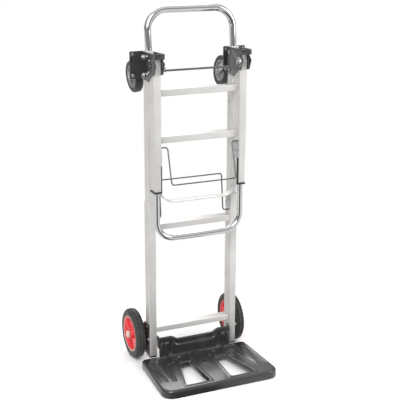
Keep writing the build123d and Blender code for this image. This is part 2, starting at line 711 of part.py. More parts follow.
# ---------------------------------------------------------------- castors
with BuildPart() as castor_top_plates:
    for side, hand in hands:
        with BuildSketch(Plane.XZ.offset(-plate_back_y)):
            with Locations((side * castor_x, castor_swivel_z)):
                RectangleRounded(castor_bolt_pitch_x + 16, castor_bolt_pitch_z + 16, 6)
            for bolt_x in castor_bolt_x:
                for bolt_z in castor_bolt_z:
                    with Locations((side * bolt_x, bolt_z)):
                        Circle(castor_bolt_radius + bolt_gap, mode=Mode.SUBTRACT)
        extrude(amount=-castor_sheet)
        with BuildSketch(Plane.XZ.offset(-(plate_back_y + castor_sheet))):
            with Locations((side * castor_x, castor_swivel_z)):
                Circle(castor_race_radius)
        extrude(amount=-castor_race_height)
        with BuildSketch(Plane.XZ.offset(-(plate_back_y + castor_sheet + castor_race_height))):
            with Locations((side * castor_x, castor_swivel_z)):
                Circle(castor_kingpin_radius)
        extrude(amount=-(castor_sheet + 2 * face_gap))
        kingpin_end = plate_back_y + 2 * castor_sheet + castor_race_height + 2 * face_gap
        with BuildSketch(Plane.XZ.offset(-kingpin_end)):
            with Locations((side * castor_x, castor_swivel_z)):
                Circle(castor_kingpin_radius + 4)
        extrude(amount=-3)
keep(castor_top_plates, "castor_top_plates")

crown_y = plate_back_y + castor_sheet + castor_race_height + face_gap
fork_half = castor_width / 2 + castor_side_gap
for side, hand in hands:
    swivel_x = side * castor_x
    swivel_axis = Axis((swivel_x, crown_y, castor_swivel_z), (0, 1, 0))
    with BuildPart() as castor_fork:
        with BuildSketch(Plane.XZ.offset(-crown_y)):
            with Locations((swivel_x, castor_swivel_z)):
                Circle(castor_race_radius)
                Circle(castor_kingpin_radius + shaft_gap, mode=Mode.SUBTRACT)
        extrude(amount=-castor_sheet)
        for arm in (-1, 1):
            arm_near = fork_half
            arm_x = swivel_x + span(arm, arm_near, arm_near + castor_sheet)
            arm_reach = (castor_race_radius ** 2 - (fork_half + castor_sheet) ** 2) ** 0.5
            with BuildSketch(Plane.YZ.offset(arm_x)):
                with Locations((crown_y, castor_swivel_z)):
                    Rectangle(castor_sheet * 2, 2 * arm_reach, align=(Align.MIN, Align.CENTER))
                with Locations((castor_y, castor_z)):
                    Circle(3 * castor_axle_radius - 1)
                make_hull()
                with Locations((castor_y, castor_z)):
                    Circle(castor_axle_radius + bolt_gap, mode=Mode.SUBTRACT)
            extrude(amount=castor_sheet)
    keep(castor_fork, f"castor_fork_{hand}", swivel_axis, side * castor_toe_in)

    with BuildPart() as castor_pin:
        pin_half = fork_half + castor_sheet
        with BuildSketch(Plane.YZ.offset(swivel_x - pin_half)):
            with Locations((castor_y, castor_z)):
                Circle(castor_axle_radius)
        extrude(amount=2 * pin_half)
        for end in (-1, 1):
            with BuildSketch(Plane.YZ.offset(swivel_x + end * pin_half)):
                with Locations((castor_y, castor_z)):
                    RegularPolygon(2 * castor_axle_radius - 1.5, 6)
            extrude(amount=end * 4)
    keep(castor_pin, f"castor_pin_{hand}", swivel_axis, side * castor_toe_in)

    castor_plane = Plane(origin=(swivel_x, castor_y, castor_z), x_dir=(1, 0, 0), z_dir=(0, -1, 0))
    castor_axis = Axis((swivel_x, castor_y, castor_z), (1, 0, 0))
    with BuildPart() as castor_tyre:
        with BuildSketch(castor_plane):
            with Locations((0, (castor_radius + castor_hub_radius) / 2)):
                RectangleRounded(castor_width, castor_radius - castor_hub_radius, 6)
            with Locations((0, castor_hub_radius + 3)):
                Rectangle(castor_width - 2, 6)
        revolve(axis=castor_axis)
    keep(castor_tyre, f"castor_tyre_{hand}", swivel_axis, side * castor_toe_in)

    with BuildPart() as castor_hub:
        bore = castor_axle_radius + shaft_gap
        with BuildSketch(castor_plane):
            with Locations((0, castor_hub_radius - 2.5)):
                Rectangle(castor_width - 2, 5)
            with Locations((0, (castor_hub_radius + bore) / 2)):
                Rectangle(5, castor_hub_radius - bore)
            with Locations((0, (11 + bore) / 2)):
                Rectangle(2 * (fork_half - face_gap), 11 - bore)
        revolve(axis=castor_axis)
    keep(castor_hub, f"castor_hub_{hand}", swivel_axis, side * castor_toe_in)

# ---------------------------------------------------------------- push frame
for side, hand in hands:
    with BuildPart() as push_tube:
        with BuildSketch(Plane.XY.offset(push_tube_bottom)):
            tube_profile(side * rail_x, push_mid_y, push_tube_width, push_tube_depth,
                         push_tube_wall, tube_corner)
        extrude(amount=push_tube_top - push_tube_bottom)
        with BuildSketch(Plane.YZ.offset(span(side, push_inner_x - 1, push_outer_x + 1))):
            with Locations((pivot_y, pivot_level)):
                Circle(pivot_bush_radius)
        extrude(amount=push_tube_width + 2, mode=Mode.SUBTRACT)
        with BuildSketch(Plane.YZ.offset(span(side, push_inner_x - 1, push_inner_x + push_tube_wall + 1))):
            with Locations((rail_front - upper_bail_offset, upper_bail_level)):
                Circle(wire_radius + face_gap)
            with Locations((rail_front - upper_pin_offset, upper_pin_level)):
                Circle(pin_radius + face_gap)
        extrude(amount=push_tube_wall + 2, mode=Mode.SUBTRACT)
    keep(push_tube, f"push_tube_{hand}")

with BuildPart() as push_tube_caps:
    for side, hand in hands:
        with BuildSketch(Plane.XY.offset(push_tube_top)):
            with Locations((side * rail_x, push_mid_y)):
                RectangleRounded(push_tube_width, push_tube_depth, tube_corner)
        extrude(amount=push_cap_height)
    fillet(push_tube_caps.edges().group_by(Axis.Z)[-1], 2.5)
    for side, hand in hands:
        with BuildSketch(Plane.XY.offset(push_tube_top)):
            with Locations((side * rail_x, push_mid_y)):
                RectangleRounded(push_tube_width - 2 * push_tube_wall - 2 * bolt_gap,
                                 push_tube_depth - 2 * push_tube_wall - 2 * bolt_gap, tube_corner - 1)
        extrude(amount=-10)
keep(push_tube_caps, "push_tube_caps")

with BuildPart() as push_crossbars:
    with BuildSketch(Plane.YZ.offset(-push_inner_x)):
        for level in push_bar_levels:
            tube_profile(push_back_y - push_bar_depth / 2, level, push_bar_depth, push_bar_height,
                         lower_bar_wall, lower_bar_corner)
    extrude(amount=2 * push_inner_x)
keep(push_crossbars, "push_crossbars")

with BuildPart() as pivot_bushes:
    for side, hand in hands:
        with BuildSketch(Plane.YZ.offset(span(side, push_inner_x, push_outer_x))):
            with Locations((pivot_y, pivot_level)):
                Circle(pivot_bush_radius)
                Circle(pivot_radius + shaft_gap, mode=Mode.SUBTRACT)
        extrude(amount=push_tube_width)
keep(pivot_bushes, "pivot_bushes")

# lock plates: one pair on the push tubes, one pair on the lower rails
upper_plate_bottom = push_tube_bottom + 2
upper_plate_top = upper_bail_level - wire_radius - 4
with BuildPart() as upper_lock_plates:
    for side, hand in hands:
        with BuildSketch(Plane.YZ.offset(span(side, push_inner_x - lock_plate_sheet, push_inner_x))):
            with Locations((push_mid_y, (upper_plate_bottom + upper_plate_top) / 2)):
                RectangleRounded(push_tube_depth - 6, upper_plate_top - upper_plate_bottom, 3)
            with Locations((rail_front - upper_pin_offset, upper_pin_level)):
                Circle(pin_radius + face_gap, mode=Mode.SUBTRACT)
        extrude(amount=lock_plate_sheet)
keep(upper_lock_plates, "upper_lock_plates")

lower_plate_bottom = lower_bail_level + wire_radius + 4
lower_plate_top = lower_pin_level + 17
with BuildPart() as lower_lock_plates:
    for side, hand in hands:
        with BuildSketch(Plane.YZ.offset(span(side, rail_inner_x - lock_plate_sheet, rail_inner_x))):
            with Locations((rail_mid_y, (lower_plate_bottom + lower_plate_top) / 2)):
                RectangleRounded(lower_rail_depth - 6, lower_plate_top - lower_plate_bottom, 3)
            with Locations((rail_front + lower_pin_back, lower_pin_level)):
                Circle(pin_radius + face_gap, mode=Mode.SUBTRACT)
        extrude(amount=lock_plate_sheet)
keep(lower_lock_plates, "lower_lock_plates")

with BuildPart() as tube_screws:
    for side, hand in hands:
        with BuildSketch(Plane.YZ.offset(side * push_inner_x)):
            with Locations((push_mid_y + 3, push_bar_levels[1] + 36)):
                Circle(4)
        extrude(amount=-side * 2, taper=20)
keep(tube_screws, "tube_screws")

# ---------------------------------------------------------------- second stage
bridge_x = slide_inner_x - bridge_sheet / 2
bridge_y = push_mid_y + bridge_inset
bridge_top = push_tube_bottom - 3
strip_front_y = push_mid_y - slide_tube_depth / 2 + tube_corner - 1
with BuildPart() as slide_tubes:
    with BuildSketch(Plane.XY.offset(slide_tube_bottom)):
        for side, hand in hands:
            tube_profile(side * rail_x, push_mid_y, slide_tube_width, slide_tube_depth,
                         slide_tube_wall, tube_corner - 1)
    extrude(amount=slide_tube_top - slide_tube_bottom)
    for side, hand in hands:
        with BuildSketch(Plane.YZ.offset(span(side, slide_inner_x - 1, slide_inner_x + slide_tube_wall + 1))):
            for level in (upper_pin_level, upper_pin_level + slide_travel):
                with Locations((rail_front - upper_pin_offset, level)):
                    Circle(pin_radius + face_gap)
            for level in bridge_rivet_levels:
                with Locations((push_mid_y, level)):
                    Circle(bridge_rivet_radius)
        extrude(amount=slide_tube_wall + 2, mode=Mode.SUBTRACT)
keep(slide_tubes, "slide_tubes")

with BuildPart() as slide_end_caps:
    for side, hand in hands:
        with BuildSketch(Plane.XY.offset(slide_tube_bottom)):
            cap_x = span(side, slide_inner_x, push_outer_x)
            with Locations((cap_x, push_mid_y)):
                Rectangle(push_outer_x - slide_inner_x, push_tube_depth, align=(Align.MIN, Align.CENTER))
        extrude(amount=-end_cap_height)
        with BuildSketch(Plane.XY.offset(slide_tube_bottom)):
            with Locations((side * rail_x, push_mid_y)):
                RectangleRounded(slide_tube_width - 2 * slide_tube_wall, slide_tube_depth - 2 * slide_tube_wall,
                                 tube_corner - 1.5)
        extrude(amount=end_cap_insert)
        with BuildSketch(Plane.XY.offset(slide_tube_bottom - end_cap_height)):
            with Locations((side * rail_x, grip_y)):
                Circle(grip_radius + slide_tube_gap)
        extrude(amount=end_cap_height + end_cap_insert, mode=Mode.SUBTRACT)
        with BuildSketch(Plane.XY.offset(slide_tube_bottom - end_cap_height)):
            strip_x = span(side, slide_inner_x - bridge_sheet - 1, slide_inner_x)
            with Locations((strip_x, strip_front_y)):
                Rectangle(bridge_sheet + 1, edge_strip_width, align=(Align.MIN, Align.MIN))
        extrude(amount=bridge_top - slide_tube_bottom + end_cap_height)
keep(slide_end_caps, "slide_end_caps")

with BuildPart() as slide_bridge:
    with BuildLine() as bridge_path:
        FilletPolyline((-bridge_x, bridge_y, bridge_top), (-bridge_x, bridge_y, bridge_level),
                       (bridge_x, bridge_y, bridge_level), (bridge_x, bridge_y, bridge_top),
                       radius=bridge_bend)
    with BuildSketch(Plane(origin=(-bridge_x, bridge_y, bridge_top), x_dir=(1, 0, 0), z_dir=(0, 0, -1))):
        Rectangle(bridge_sheet, bridge_width)
    sweep()
    with BuildSketch(Plane.YZ.offset(-bridge_x - bridge_sheet)):
        for level in bridge_rivet_levels:
            with Locations((push_mid_y, level)):
                Circle(bridge_rivet_radius)
    extrude(amount=2 * (bridge_x + bridge_sheet), mode=Mode.SUBTRACT)
keep(slide_bridge, "slide_bridge")

with BuildPart() as bridge_rivets:
    for side, hand in hands:
        strap_face = slide_inner_x - bridge_sheet
        for level in bridge_rivet_levels:
            with BuildSketch(Plane.YZ.offset(span(side, strap_face, slide_inner_x + slide_tube_wall))):
                with Locations((push_mid_y, level)):
                    Circle(bridge_rivet_radius)
            extrude(amount=bridge_sheet + slide_tube_wall)
            with BuildSketch(Plane.YZ.offset(side * strap_face)):
                with Locations((push_mid_y, level)):
                    Circle(2 * bridge_rivet_radius)
            extrude(amount=-side * 1.6, taper=25)
keep(bridge_rivets, "bridge_rivets")

# ---------------------------------------------------------------- push handle
with BuildPart() as push_handle:
    with BuildLine() as grip_path:
        FilletPolyline((-rail_x, grip_y, grip_top), (-rail_x, grip_y, grip_level),
                       (rail_x, grip_y, grip_level), (rail_x, grip_y, grip_top), radius=grip_bend)
    with BuildSketch(Plane(origin=(-rail_x, grip_y, grip_top), z_dir=(0, 0, -1))):
        Circle(grip_radius)
        Circle(grip_radius - grip_wall, mode=Mode.SUBTRACT)
    sweep()
keep(push_handle, "push_handle")

with BuildPart() as grip_guides:
    for side, hand in hands:
        with BuildSketch(Plane.XY.offset(grip_top)):
            with Locations((side * rail_x, push_mid_y)):
                RectangleRounded(slide_tube_width - 2 * slide_tube_wall - 2 * slide_gap,
                                 slide_tube_depth - 2 * slide_tube_wall - 2 * slide_gap, tube_corner - 1.5)
        extrude(amount=grip_guide_height)
keep(grip_guides, "grip_guides")

# ---------------------------------------------------------------- release rod, wires and lock pins
with BuildPart() as release_rod:
    rod_half = cheek_inner_x
    with BuildSketch(Plane.YZ.offset(-rod_half)):
        with Locations((rail_front - rod_offset, rod_level)):
            Circle(rod_radius)
    extrude(amount=2 * rod_half)
    for side, hand in hands:
        collar_x = cheek_inner_x - bracket_sheet - pivot_cap_height - 1
        with BuildSketch(Plane.YZ.offset(side * collar_x)):
            with Locations((rail_front - rod_offset, rod_level)):
                Circle(rod_radius + 2)
        extrude(amount=-side * 1.5)
keep(release_rod, "release_rod")

wire_end = push_inner_x + push_tube_wall - 0.1


def wire_loop(hinge_y, hinge_z, far_y, far_z):
    """Path of a release wire: a stub in each rail, two legs and a bar between them."""
    FilletPolyline((-wire_end, hinge_y, hinge_z), (-bail_half, hinge_y, hinge_z),
                   (-bail_half, far_y, far_z), (bail_half, far_y, far_z),
                   (bail_half, hinge_y, hinge_z), (wire_end, hinge_y, hinge_z), radius=wire_bend)


upper_bail_y = rail_front - upper_bail_offset
with BuildPart() as bail_upper:
    with BuildLine() as upper_path:
        wire_loop(upper_bail_y, upper_bail_level, rail_front - upper_bail_foot_offset, upper_bail_foot_level)
    with BuildSketch(Plane(origin=(-wire_end, upper_bail_y, upper_bail_level), z_dir=(1, 0, 0))):
        Circle(wire_radius)
    sweep()
keep(bail_upper, "bail_upper")

lower_bail_y = rail_front + lower_bail_back
with BuildPart() as bail_lower:
    with BuildLine() as lower_path:
        wire_loop(lower_bail_y, lower_bail_level, rail_front + lower_bail_top_back, lower_bail_top_level)
    with BuildSketch(Plane(origin=(-wire_end, lower_bail_y, lower_bail_level), z_dir=(1, 0, 0))):
        Circle(wire_radius)
    sweep()
keep(bail_lower, "bail_lower")

pin_spots = (("upper", rail_front - upper_pin_offset, upper_pin_level),
             ("lower", rail_front + lower_pin_back, lower_pin_level))
pin_outer_x = wire_end
pin_length = 4.0
for stage, pin_y, pin_z in pin_spots:
    for side, hand in hands:
        with BuildPart() as lock_pin:
            with BuildSketch(Plane.YZ.offset(span(side, pin_outer_x - pin_length, pin_outer_x))):
                with Locations((pin_y, pin_z)):
                    Circle(pin_radius)
            extrude(amount=pin_length)
        keep(lock_pin, f"lock_pin_{stage}_{hand}")
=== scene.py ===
"""Convertible two-in-one hand truck, dressed round its CAD frame.

The CAD nodes give every tube, bracket, bolt and wheel its place. The classes below give each
sub-assembly its finish, and build the pressed, moulded and grooved pieces as worked-out surfaces.
Lengths in the dataclasses are in millimetres; meshes are in metres.
"""

from __future__ import annotations

import json
import logging
import math
from dataclasses import dataclass, field
from enum import Enum

import bmesh
import bpy
import numpy as np
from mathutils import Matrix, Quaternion, Vector

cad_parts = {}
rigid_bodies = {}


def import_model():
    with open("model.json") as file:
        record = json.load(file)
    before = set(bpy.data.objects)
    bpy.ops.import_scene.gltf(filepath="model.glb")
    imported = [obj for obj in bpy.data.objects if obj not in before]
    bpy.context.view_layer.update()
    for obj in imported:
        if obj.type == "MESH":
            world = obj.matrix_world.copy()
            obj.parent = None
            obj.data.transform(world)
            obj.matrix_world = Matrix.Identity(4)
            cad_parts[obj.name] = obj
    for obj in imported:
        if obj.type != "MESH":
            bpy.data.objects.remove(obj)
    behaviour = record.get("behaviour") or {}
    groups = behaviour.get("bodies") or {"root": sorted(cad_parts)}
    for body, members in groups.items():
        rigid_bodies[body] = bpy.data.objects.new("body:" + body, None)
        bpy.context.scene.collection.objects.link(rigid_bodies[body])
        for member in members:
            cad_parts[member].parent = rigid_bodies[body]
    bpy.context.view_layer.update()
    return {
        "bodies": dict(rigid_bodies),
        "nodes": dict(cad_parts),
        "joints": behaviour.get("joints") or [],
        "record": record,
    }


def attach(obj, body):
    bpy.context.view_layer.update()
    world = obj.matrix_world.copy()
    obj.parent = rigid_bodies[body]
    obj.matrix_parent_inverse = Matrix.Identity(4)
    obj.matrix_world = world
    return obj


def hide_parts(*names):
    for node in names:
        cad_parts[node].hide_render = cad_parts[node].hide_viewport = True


LOG = logging.getLogger("hand_truck")
MM = 0.001
ARC_POINTS = 17          # on an outline's rounded corner; odd, so that one is its middle
LINE_STRETCH = 80        # length of a drawn metal's lines over their spacing


class Side(Enum):
    """The two halves of the truck, with the sign of their X."""

    LEFT = -1
    RIGHT = 1

    @property
    def hand(self) -> str:
        """The word that ends this side's node names."""
        return self.name.lower()


class Grain(Enum):
    """The direction in which a drawn or brushed metal is lined."""

    ALONG_X = 0
    ALONG_Z = 2
    NONE = 3


# ------------------------------------------------------------------------------------ materials
def linear_colour(hex_code: str) -> tuple[float, float, float, float]:
    """Turn an sRGB hex value into a linear colour.

    Args:
        hex_code: six hex digits, such as "c8c6c2".

    Returns:
        Red, green, blue and alpha, linear.
    """
    srgb = [int(hex_code[i:i + 2], 16) / 255 for i in (0, 2, 4)]
    rgb = [c / 12.92 if c <= 0.04045 else ((c + 0.055) / 1.055) ** 2.4 for c in srgb]
    return rgb[0], rgb[1], rgb[2], 1.0


def add_node(tree: bpy.types.NodeTree, kind: str, settings: dict | None = None,
             inputs: dict | None = None) -> bpy.types.Node:
    """Add a node with its settings and its inputs.

    Args:
        tree: the node tree.
        kind: Blender's node type name.
        settings: properties set on the node itself.
        inputs: by socket name or number, a value, or another node's output socket to link from.

    Returns:
        The new node.
    """
    node = tree.nodes.new(kind)
    for name, value in (settings or {}).items():
        setattr(node, name, value)
    for key, value in (inputs or {}).items():
        if isinstance(value, bpy.types.NodeSocket):
            tree.links.new(value, node.inputs[key])
        else:
            node.inputs[key].default_value = value
    return node


def colour_ramp(tree: bpy.types.NodeTree, source: bpy.types.NodeSocket,
                stops: list[tuple[float, str]]) -> bpy.types.NodeSocket:
    """Map a 0 to 1 value to colours.

    Args:
        tree: the node tree.
        source: the value's socket.
        stops: positions and sRGB hex colours, in rising order.

    Returns:
        The ramp's colour socket.
    """
    ramp = add_node(tree, "ShaderNodeValToRGB", inputs={"Fac": source})
    while len(ramp.color_ramp.elements) < len(stops):
        ramp.color_ramp.elements.new(0.5)
    for element, (position, hex_code) in zip(ramp.color_ramp.elements, stops):
        element.position = position
        element.color = linear_colour(hex_code)
    return ramp.outputs["Color"]


@dataclass(frozen=True)
class Finish:
    """One real surface: its colours, gloss and fine texture.

    light, dark: sRGB hex of the surface's clean and dull patches.
    patch: size of the patches, in millimetres.
    metallic, rough, ior: the shader's base values; a metal keeps the default IOR.
    rough_swing: how far the roughness moves either way between patches.
    grain, grain_pitch, grain_depth: lines of a drawn metal, their spacing and bump, in millimetres.
    grit, grit_depth: size and height of the fine bumps of a coat or mould, in millimetres.
    coat, coat_rough, sheen: strength and roughness of a clear top coat, and rubber's soft sheen.
    """

    name: str
    light: str
    dark: str
    patch: float = 60.0
    metallic: float = 0.0
    rough: float = 0.5
    ior: float = 1.5
    rough_swing: float = 0.05
    grain: Grain = Grain.NONE
    grain_pitch: float = 1.0
    grain_depth: float = 0.0
    grit: float = 1.0
    grit_depth: float = 0.0
    coat: float = 0.0
    coat_rough: float = 0.1
    sheen: float = 0.0

    def build(self) -> bpy.types.Material:
        """Make the node material, or return it if it is already made."""
        made = bpy.data.materials.get(self.name)
        if made:
            return made
        material = bpy.data.materials.new(self.name)
        material.use_nodes = True
        tree = material.node_tree
        tree.nodes.clear()
        place = add_node(tree, "ShaderNodeTexCoord").outputs["Object"]
        patches = add_node(tree, "ShaderNodeTexNoise", inputs={
            "Vector": place, "Scale": 1 / (self.patch * MM), "Detail": 4.0, "Roughness": 0.6})
        spread = add_node(tree, "ShaderNodeMapRange", inputs={
            "Value": patches.outputs["Fac"], "From Min": 0.35, "From Max": 0.65})
        colour = colour_ramp(tree, spread.outputs["Result"], [(0.0, self.dark), (1.0, self.light)])
        rough = add_node(tree, "ShaderNodeMapRange", inputs={
            "Value": patches.outputs["Fac"], "From Min": 0.3, "From Max": 0.7,
            "To Min": self.rough + self.rough_swing, "To Max": max(self.rough - self.rough_swing, 0.02)})
        shader = add_node(tree, "ShaderNodeBsdfPrincipled", inputs={
            "Base Color": colour, "Roughness": rough.outputs["Result"], "Metallic": self.metallic,
            "Coat Weight": self.coat, "Coat Roughness": self.coat_rough,
            "Sheen Weight": self.sheen, "Sheen Roughness": 0.5, "IOR": self.ior})
        bump = self._bump(tree, place)
        if bump is not None:
            tree.links.new(bump, shader.inputs["Normal"])
        add_node(tree, "ShaderNodeOutputMaterial", inputs={"Surface": shader.outputs["BSDF"]})
        return material

    def _bump(self, tree: bpy.types.NodeTree,
              place: bpy.types.NodeSocket) -> bpy.types.NodeSocket | None:
        """Height of the drawn lines and of the grit, as a bumped normal, or None for a smooth finish."""
        normal = None
        if self.grain is not Grain.NONE and self.grain_depth:
            stretch = [1 / (self.grain_pitch * MM)] * 3
            stretch[self.grain.value] /= LINE_STRETCH
            lined = add_node(tree, "ShaderNodeMapping", inputs={"Vector": place, "Scale": stretch})
            lines = add_node(tree, "ShaderNodeTexNoise", inputs={
                "Vector": lined.outputs["Vector"], "Scale": 1.0, "Detail": 3.0})
            normal = add_node(tree, "ShaderNodeBump", inputs={
                "Height": lines.outputs["Fac"], "Distance": self.grain_depth * MM,
                "Strength": 1.0}).outputs["Normal"]
        if self.grit_depth:
            grit = add_node(tree, "ShaderNodeTexNoise", inputs={
                "Vector": place, "Scale": 1 / (self.grit * MM), "Detail": 2.0})
            inputs = {"Height": grit.outputs["Fac"], "Distance": self.grit_depth * MM, "Strength": 1.0}
            if normal is not None:
                inputs["Normal"] = normal
            normal = add_node(tree, "ShaderNodeBump", inputs=inputs).outputs["Normal"]
        return normal


# Extruded aluminium tube, etched and satin anodised: pale, dull mirror with faint die lines.
SATIN_TUBE = Finish("satin_anodised_aluminium", "dbd9d6", "cfcdca", patch=140, metallic=0.55, rough=0.46,
                    grain=Grain.ALONG_Z, grain_pitch=1.6, grain_depth=0.03)
SATIN_BAR = Finish("satin_anodised_crossbar", "dbd9d6", "cfcdca", patch=140, metallic=0.55, rough=0.46,
                   grain=Grain.ALONG_X, grain_pitch=1.6, grain_depth=0.03)
# Bright chrome plate on a drawn tube: a near mirror with slight haze.
CHROME = Finish("chrome_plated_tube", "d9dadb", "cfd0d2", patch=90, metallic=1.0, rough=0.1,
                rough_swing=0.03)
# Zinc plated pressed and turned steel: grey, cloudy, half dull.
ZINC = Finish("zinc_plated_steel", "c4c5c6", "a6a8aa", patch=12, metallic=1.0, rough=0.34,
              rough_swing=0.08, grit=1.5, grit_depth=0.02)
# Powder-coated sheet steel: black, fine orange peel under a soft gloss.
POWDER_COAT = Finish("black_powder_coat", "303031", "272728", patch=80, rough=0.3, rough_swing=0.05,
                     grit=1.8, grit_depth=0.03, coat=0.5, coat_rough=0.16)
# Moulded nylon, black, with a fine spark-eroded grain.
BLACK_NYLON = Finish("black_moulded_nylon", "262627", "1d1d1e", patch=40, rough=0.5,
                     grit=0.8, grit_depth=0.03)
# Moulded polypropylene, light grey, satin.
GREY_POLY = Finish("grey_moulded_polypropylene", "d2d1ce", "c6c5c2", patch=50, rough=0.45,
                   grit=0.8, grit_depth=0.02)
# Moulded polypropylene, signal red, half gloss.
RED_POLY = Finish("red_moulded_polypropylene", "e0444a", "d03038", patch=50, rough=0.33,
                  rough_swing=0.06, grit=1.2, grit_depth=0.02)
# Vulcanised black tyre rubber with a dusting of bloom.
TYRE_RUBBER = Finish("vulcanised_tyre_rubber", "3a3836", "282726", patch=25, rough=0.62,
                     grit=1.0, grit_depth=0.05, sheen=0.1)
# Thermoplastic castor rubber, smooth, nearly black.
CASTOR_RUBBER = Finish("dark_castor_rubber", "2f3031", "232425", patch=25, rough=0.5,
                       grit=0.9, grit_depth=0.03, sheen=0.05)
# Moulded castor hub, mid grey.
CASTOR_HUB = Finish("grey_moulded_castor_hub", "8f9092", "7e7f81", patch=25, rough=0.42,
                    grit=0.8, grit_depth=0.02)
# Moulded caps of the wheels, off-white nylon; the same colour paints the pale ring at the tyre's bead as a
# painted highlight.
CREAM_NYLON_AND_BEAD_HIGHLIGHT = Finish("cream_moulded_nylon", "d9d2c2", "c9c1b0", patch=12, rough=0.4,
                     grit=0.8, grit_depth=0.02)
# Spring wire, drawn and oiled.
SPRING_WIRE = Finish("drawn_spring_wire", "7c7d80", "66676a", patch=20, metallic=1.0, rough=0.34)


def studio_floor_material() -> bpy.types.Material:
    """White studio floor that fades into a white sweep, with a painted dark reflection in front for metals
    to mirror.

    Near the truck it is plain white paint and takes shadows. Its own light grows with the distance
    from the middle along 0 to 1, so the sweep has no horizon. Only glossy rays see a painted dark
    reflection: a glowing dull wedge on the floor in front of the truck, told by the direction from the
    middle.
    """
    material = bpy.data.materials.new("white_studio_sweep")
    material.use_nodes = True
    tree = material.node_tree
    tree.nodes.clear()
    place = add_node(tree, "ShaderNodeTexCoord").outputs["Object"]
    reach = add_node(tree, "ShaderNodeVectorMath", {"operation": "LENGTH"}, {0: place}).outputs["Value"]
    far = add_node(tree, "ShaderNodeMapRange", inputs={
        "Value": reach, "From Min": 0.35, "From Max": 0.9})
    paint = add_node(tree, "ShaderNodeBsdfDiffuse", inputs={"Color": linear_colour("fbfbfb")})
    sweep = add_node(tree, "ShaderNodeEmission", inputs={"Color": (1, 1, 1, 1), "Strength": 1.0})
    seen = add_node(tree, "ShaderNodeMixShader", inputs={
        0: far.outputs["Result"], 1: paint.outputs["BSDF"], 2: sweep.outputs["Emission"]})
    # Painted reflection: glossy rays see a glowing wedge in front of the truck, dark at its middle, which
    # metals mirror though nothing dark stands there.
    heading = add_node(tree, "ShaderNodeVectorMath", {"operation": "NORMALIZE"},
                       {0: place}).outputs["Vector"]
    ahead = add_node(tree, "ShaderNodeVectorMath", {"operation": "DOT_PRODUCT"},
                     {0: heading, 1: (-0.36, -0.93, 0.0)}).outputs["Value"]
    card = colour_ramp(tree, ahead, [(0.0, "e4e4e4"), (0.60, "fafafa"), (0.90, "d0d0d0"),
                                     (0.97, "262626")])
    mirrored = add_node(tree, "ShaderNodeEmission", inputs={"Color": card, "Strength": 1.05})
    ray = add_node(tree, "ShaderNodeLightPath").outputs["Is Glossy Ray"]
    shader = add_node(tree, "ShaderNodeMixShader", inputs={
        0: ray, 1: seen.outputs["Shader"], 2: mirrored.outputs["Emission"]})
    add_node(tree, "ShaderNodeOutputMaterial", inputs={"Surface": shader.outputs["Shader"]})
    return material


# ------------------------------------------------------------------------------------ CAD nodes
def smooth_by_angle(angle_deg: float) -> bpy.types.NodeTree:
    """A geometry node group that shades smooth and keeps edges sharper than an angle hard.

    Args:
        angle_deg: angle between two faces above which their edge stays hard.

    Returns:
        The node group.
    """
    name = f"smooth_under_{angle_deg:.0f}_degrees"
    group = bpy.data.node_groups.get(name)
    if group:
        return group
    group = bpy.data.node_groups.new(name, "GeometryNodeTree")
    group.interface.new_socket("Geometry", in_out="INPUT", socket_type="NodeSocketGeometry")
    group.interface.new_socket("Geometry", in_out="OUTPUT", socket_type="NodeSocketGeometry")
    source = add_node(group, "NodeGroupInput").outputs["Geometry"]
    faces = add_node(group, "GeometryNodeSetShadeSmooth", {"domain": "FACE"},
                     {"Geometry": source, "Shade Smooth": True})
    bend = add_node(group, "GeometryNodeInputMeshEdgeAngle")
    sharp = add_node(group, "FunctionNodeCompare", {"data_type": "FLOAT", "operation": "GREATER_THAN"},
                     {0: bend.outputs["Unsigned Angle"], 1: math.radians(angle_deg)})
    edges = add_node(group, "GeometryNodeSetShadeSmooth", {"domain": "EDGE"},
                     {"Geometry": faces.outputs["Geometry"], "Selection": sharp.outputs["Result"],
                      "Shade Smooth": False})
    add_node(group, "NodeGroupOutput", inputs={"Geometry": edges.outputs["Geometry"]})
    return group


def dress_node(node: bpy.types.Object, finish: Finish, edge: float = 0.0, smooth: float = 28.0) -> None:
    """Give a kept CAD node its finish, softened edges and smooth shading.

    Args:
        node: the CAD node's object.
        finish: its finish.
        edge: radius of its broken edges, in millimetres; 0 leaves them sharp.
        smooth: angle in degrees under which neighbouring faces shade as one.
    """
    node.data.materials.clear()
    node.data.materials.append(finish.build())
    weld = node.modifiers.new("merge_corners", "WELD")
    weld.merge_threshold = 0.00001
    if edge:
        flat = node.modifiers.new("join_flats", "DECIMATE")
        flat.decimate_type = "DISSOLVE"
        flat.angle_limit = math.radians(0.5)
        bevel = node.modifiers.new("broken_edges", "BEVEL")
        bevel.width = edge * MM
        bevel.segments = 2
        bevel.limit_method = "ANGLE"
        bevel.angle_limit = math.radians(35)
        bevel.use_clamp_overlap = True
        bevel.miter_outer = "MITER_ARC"
    shade = node.modifiers.new("smooth_shading", "NODES")
    shade.node_group = smooth_by_angle(smooth)


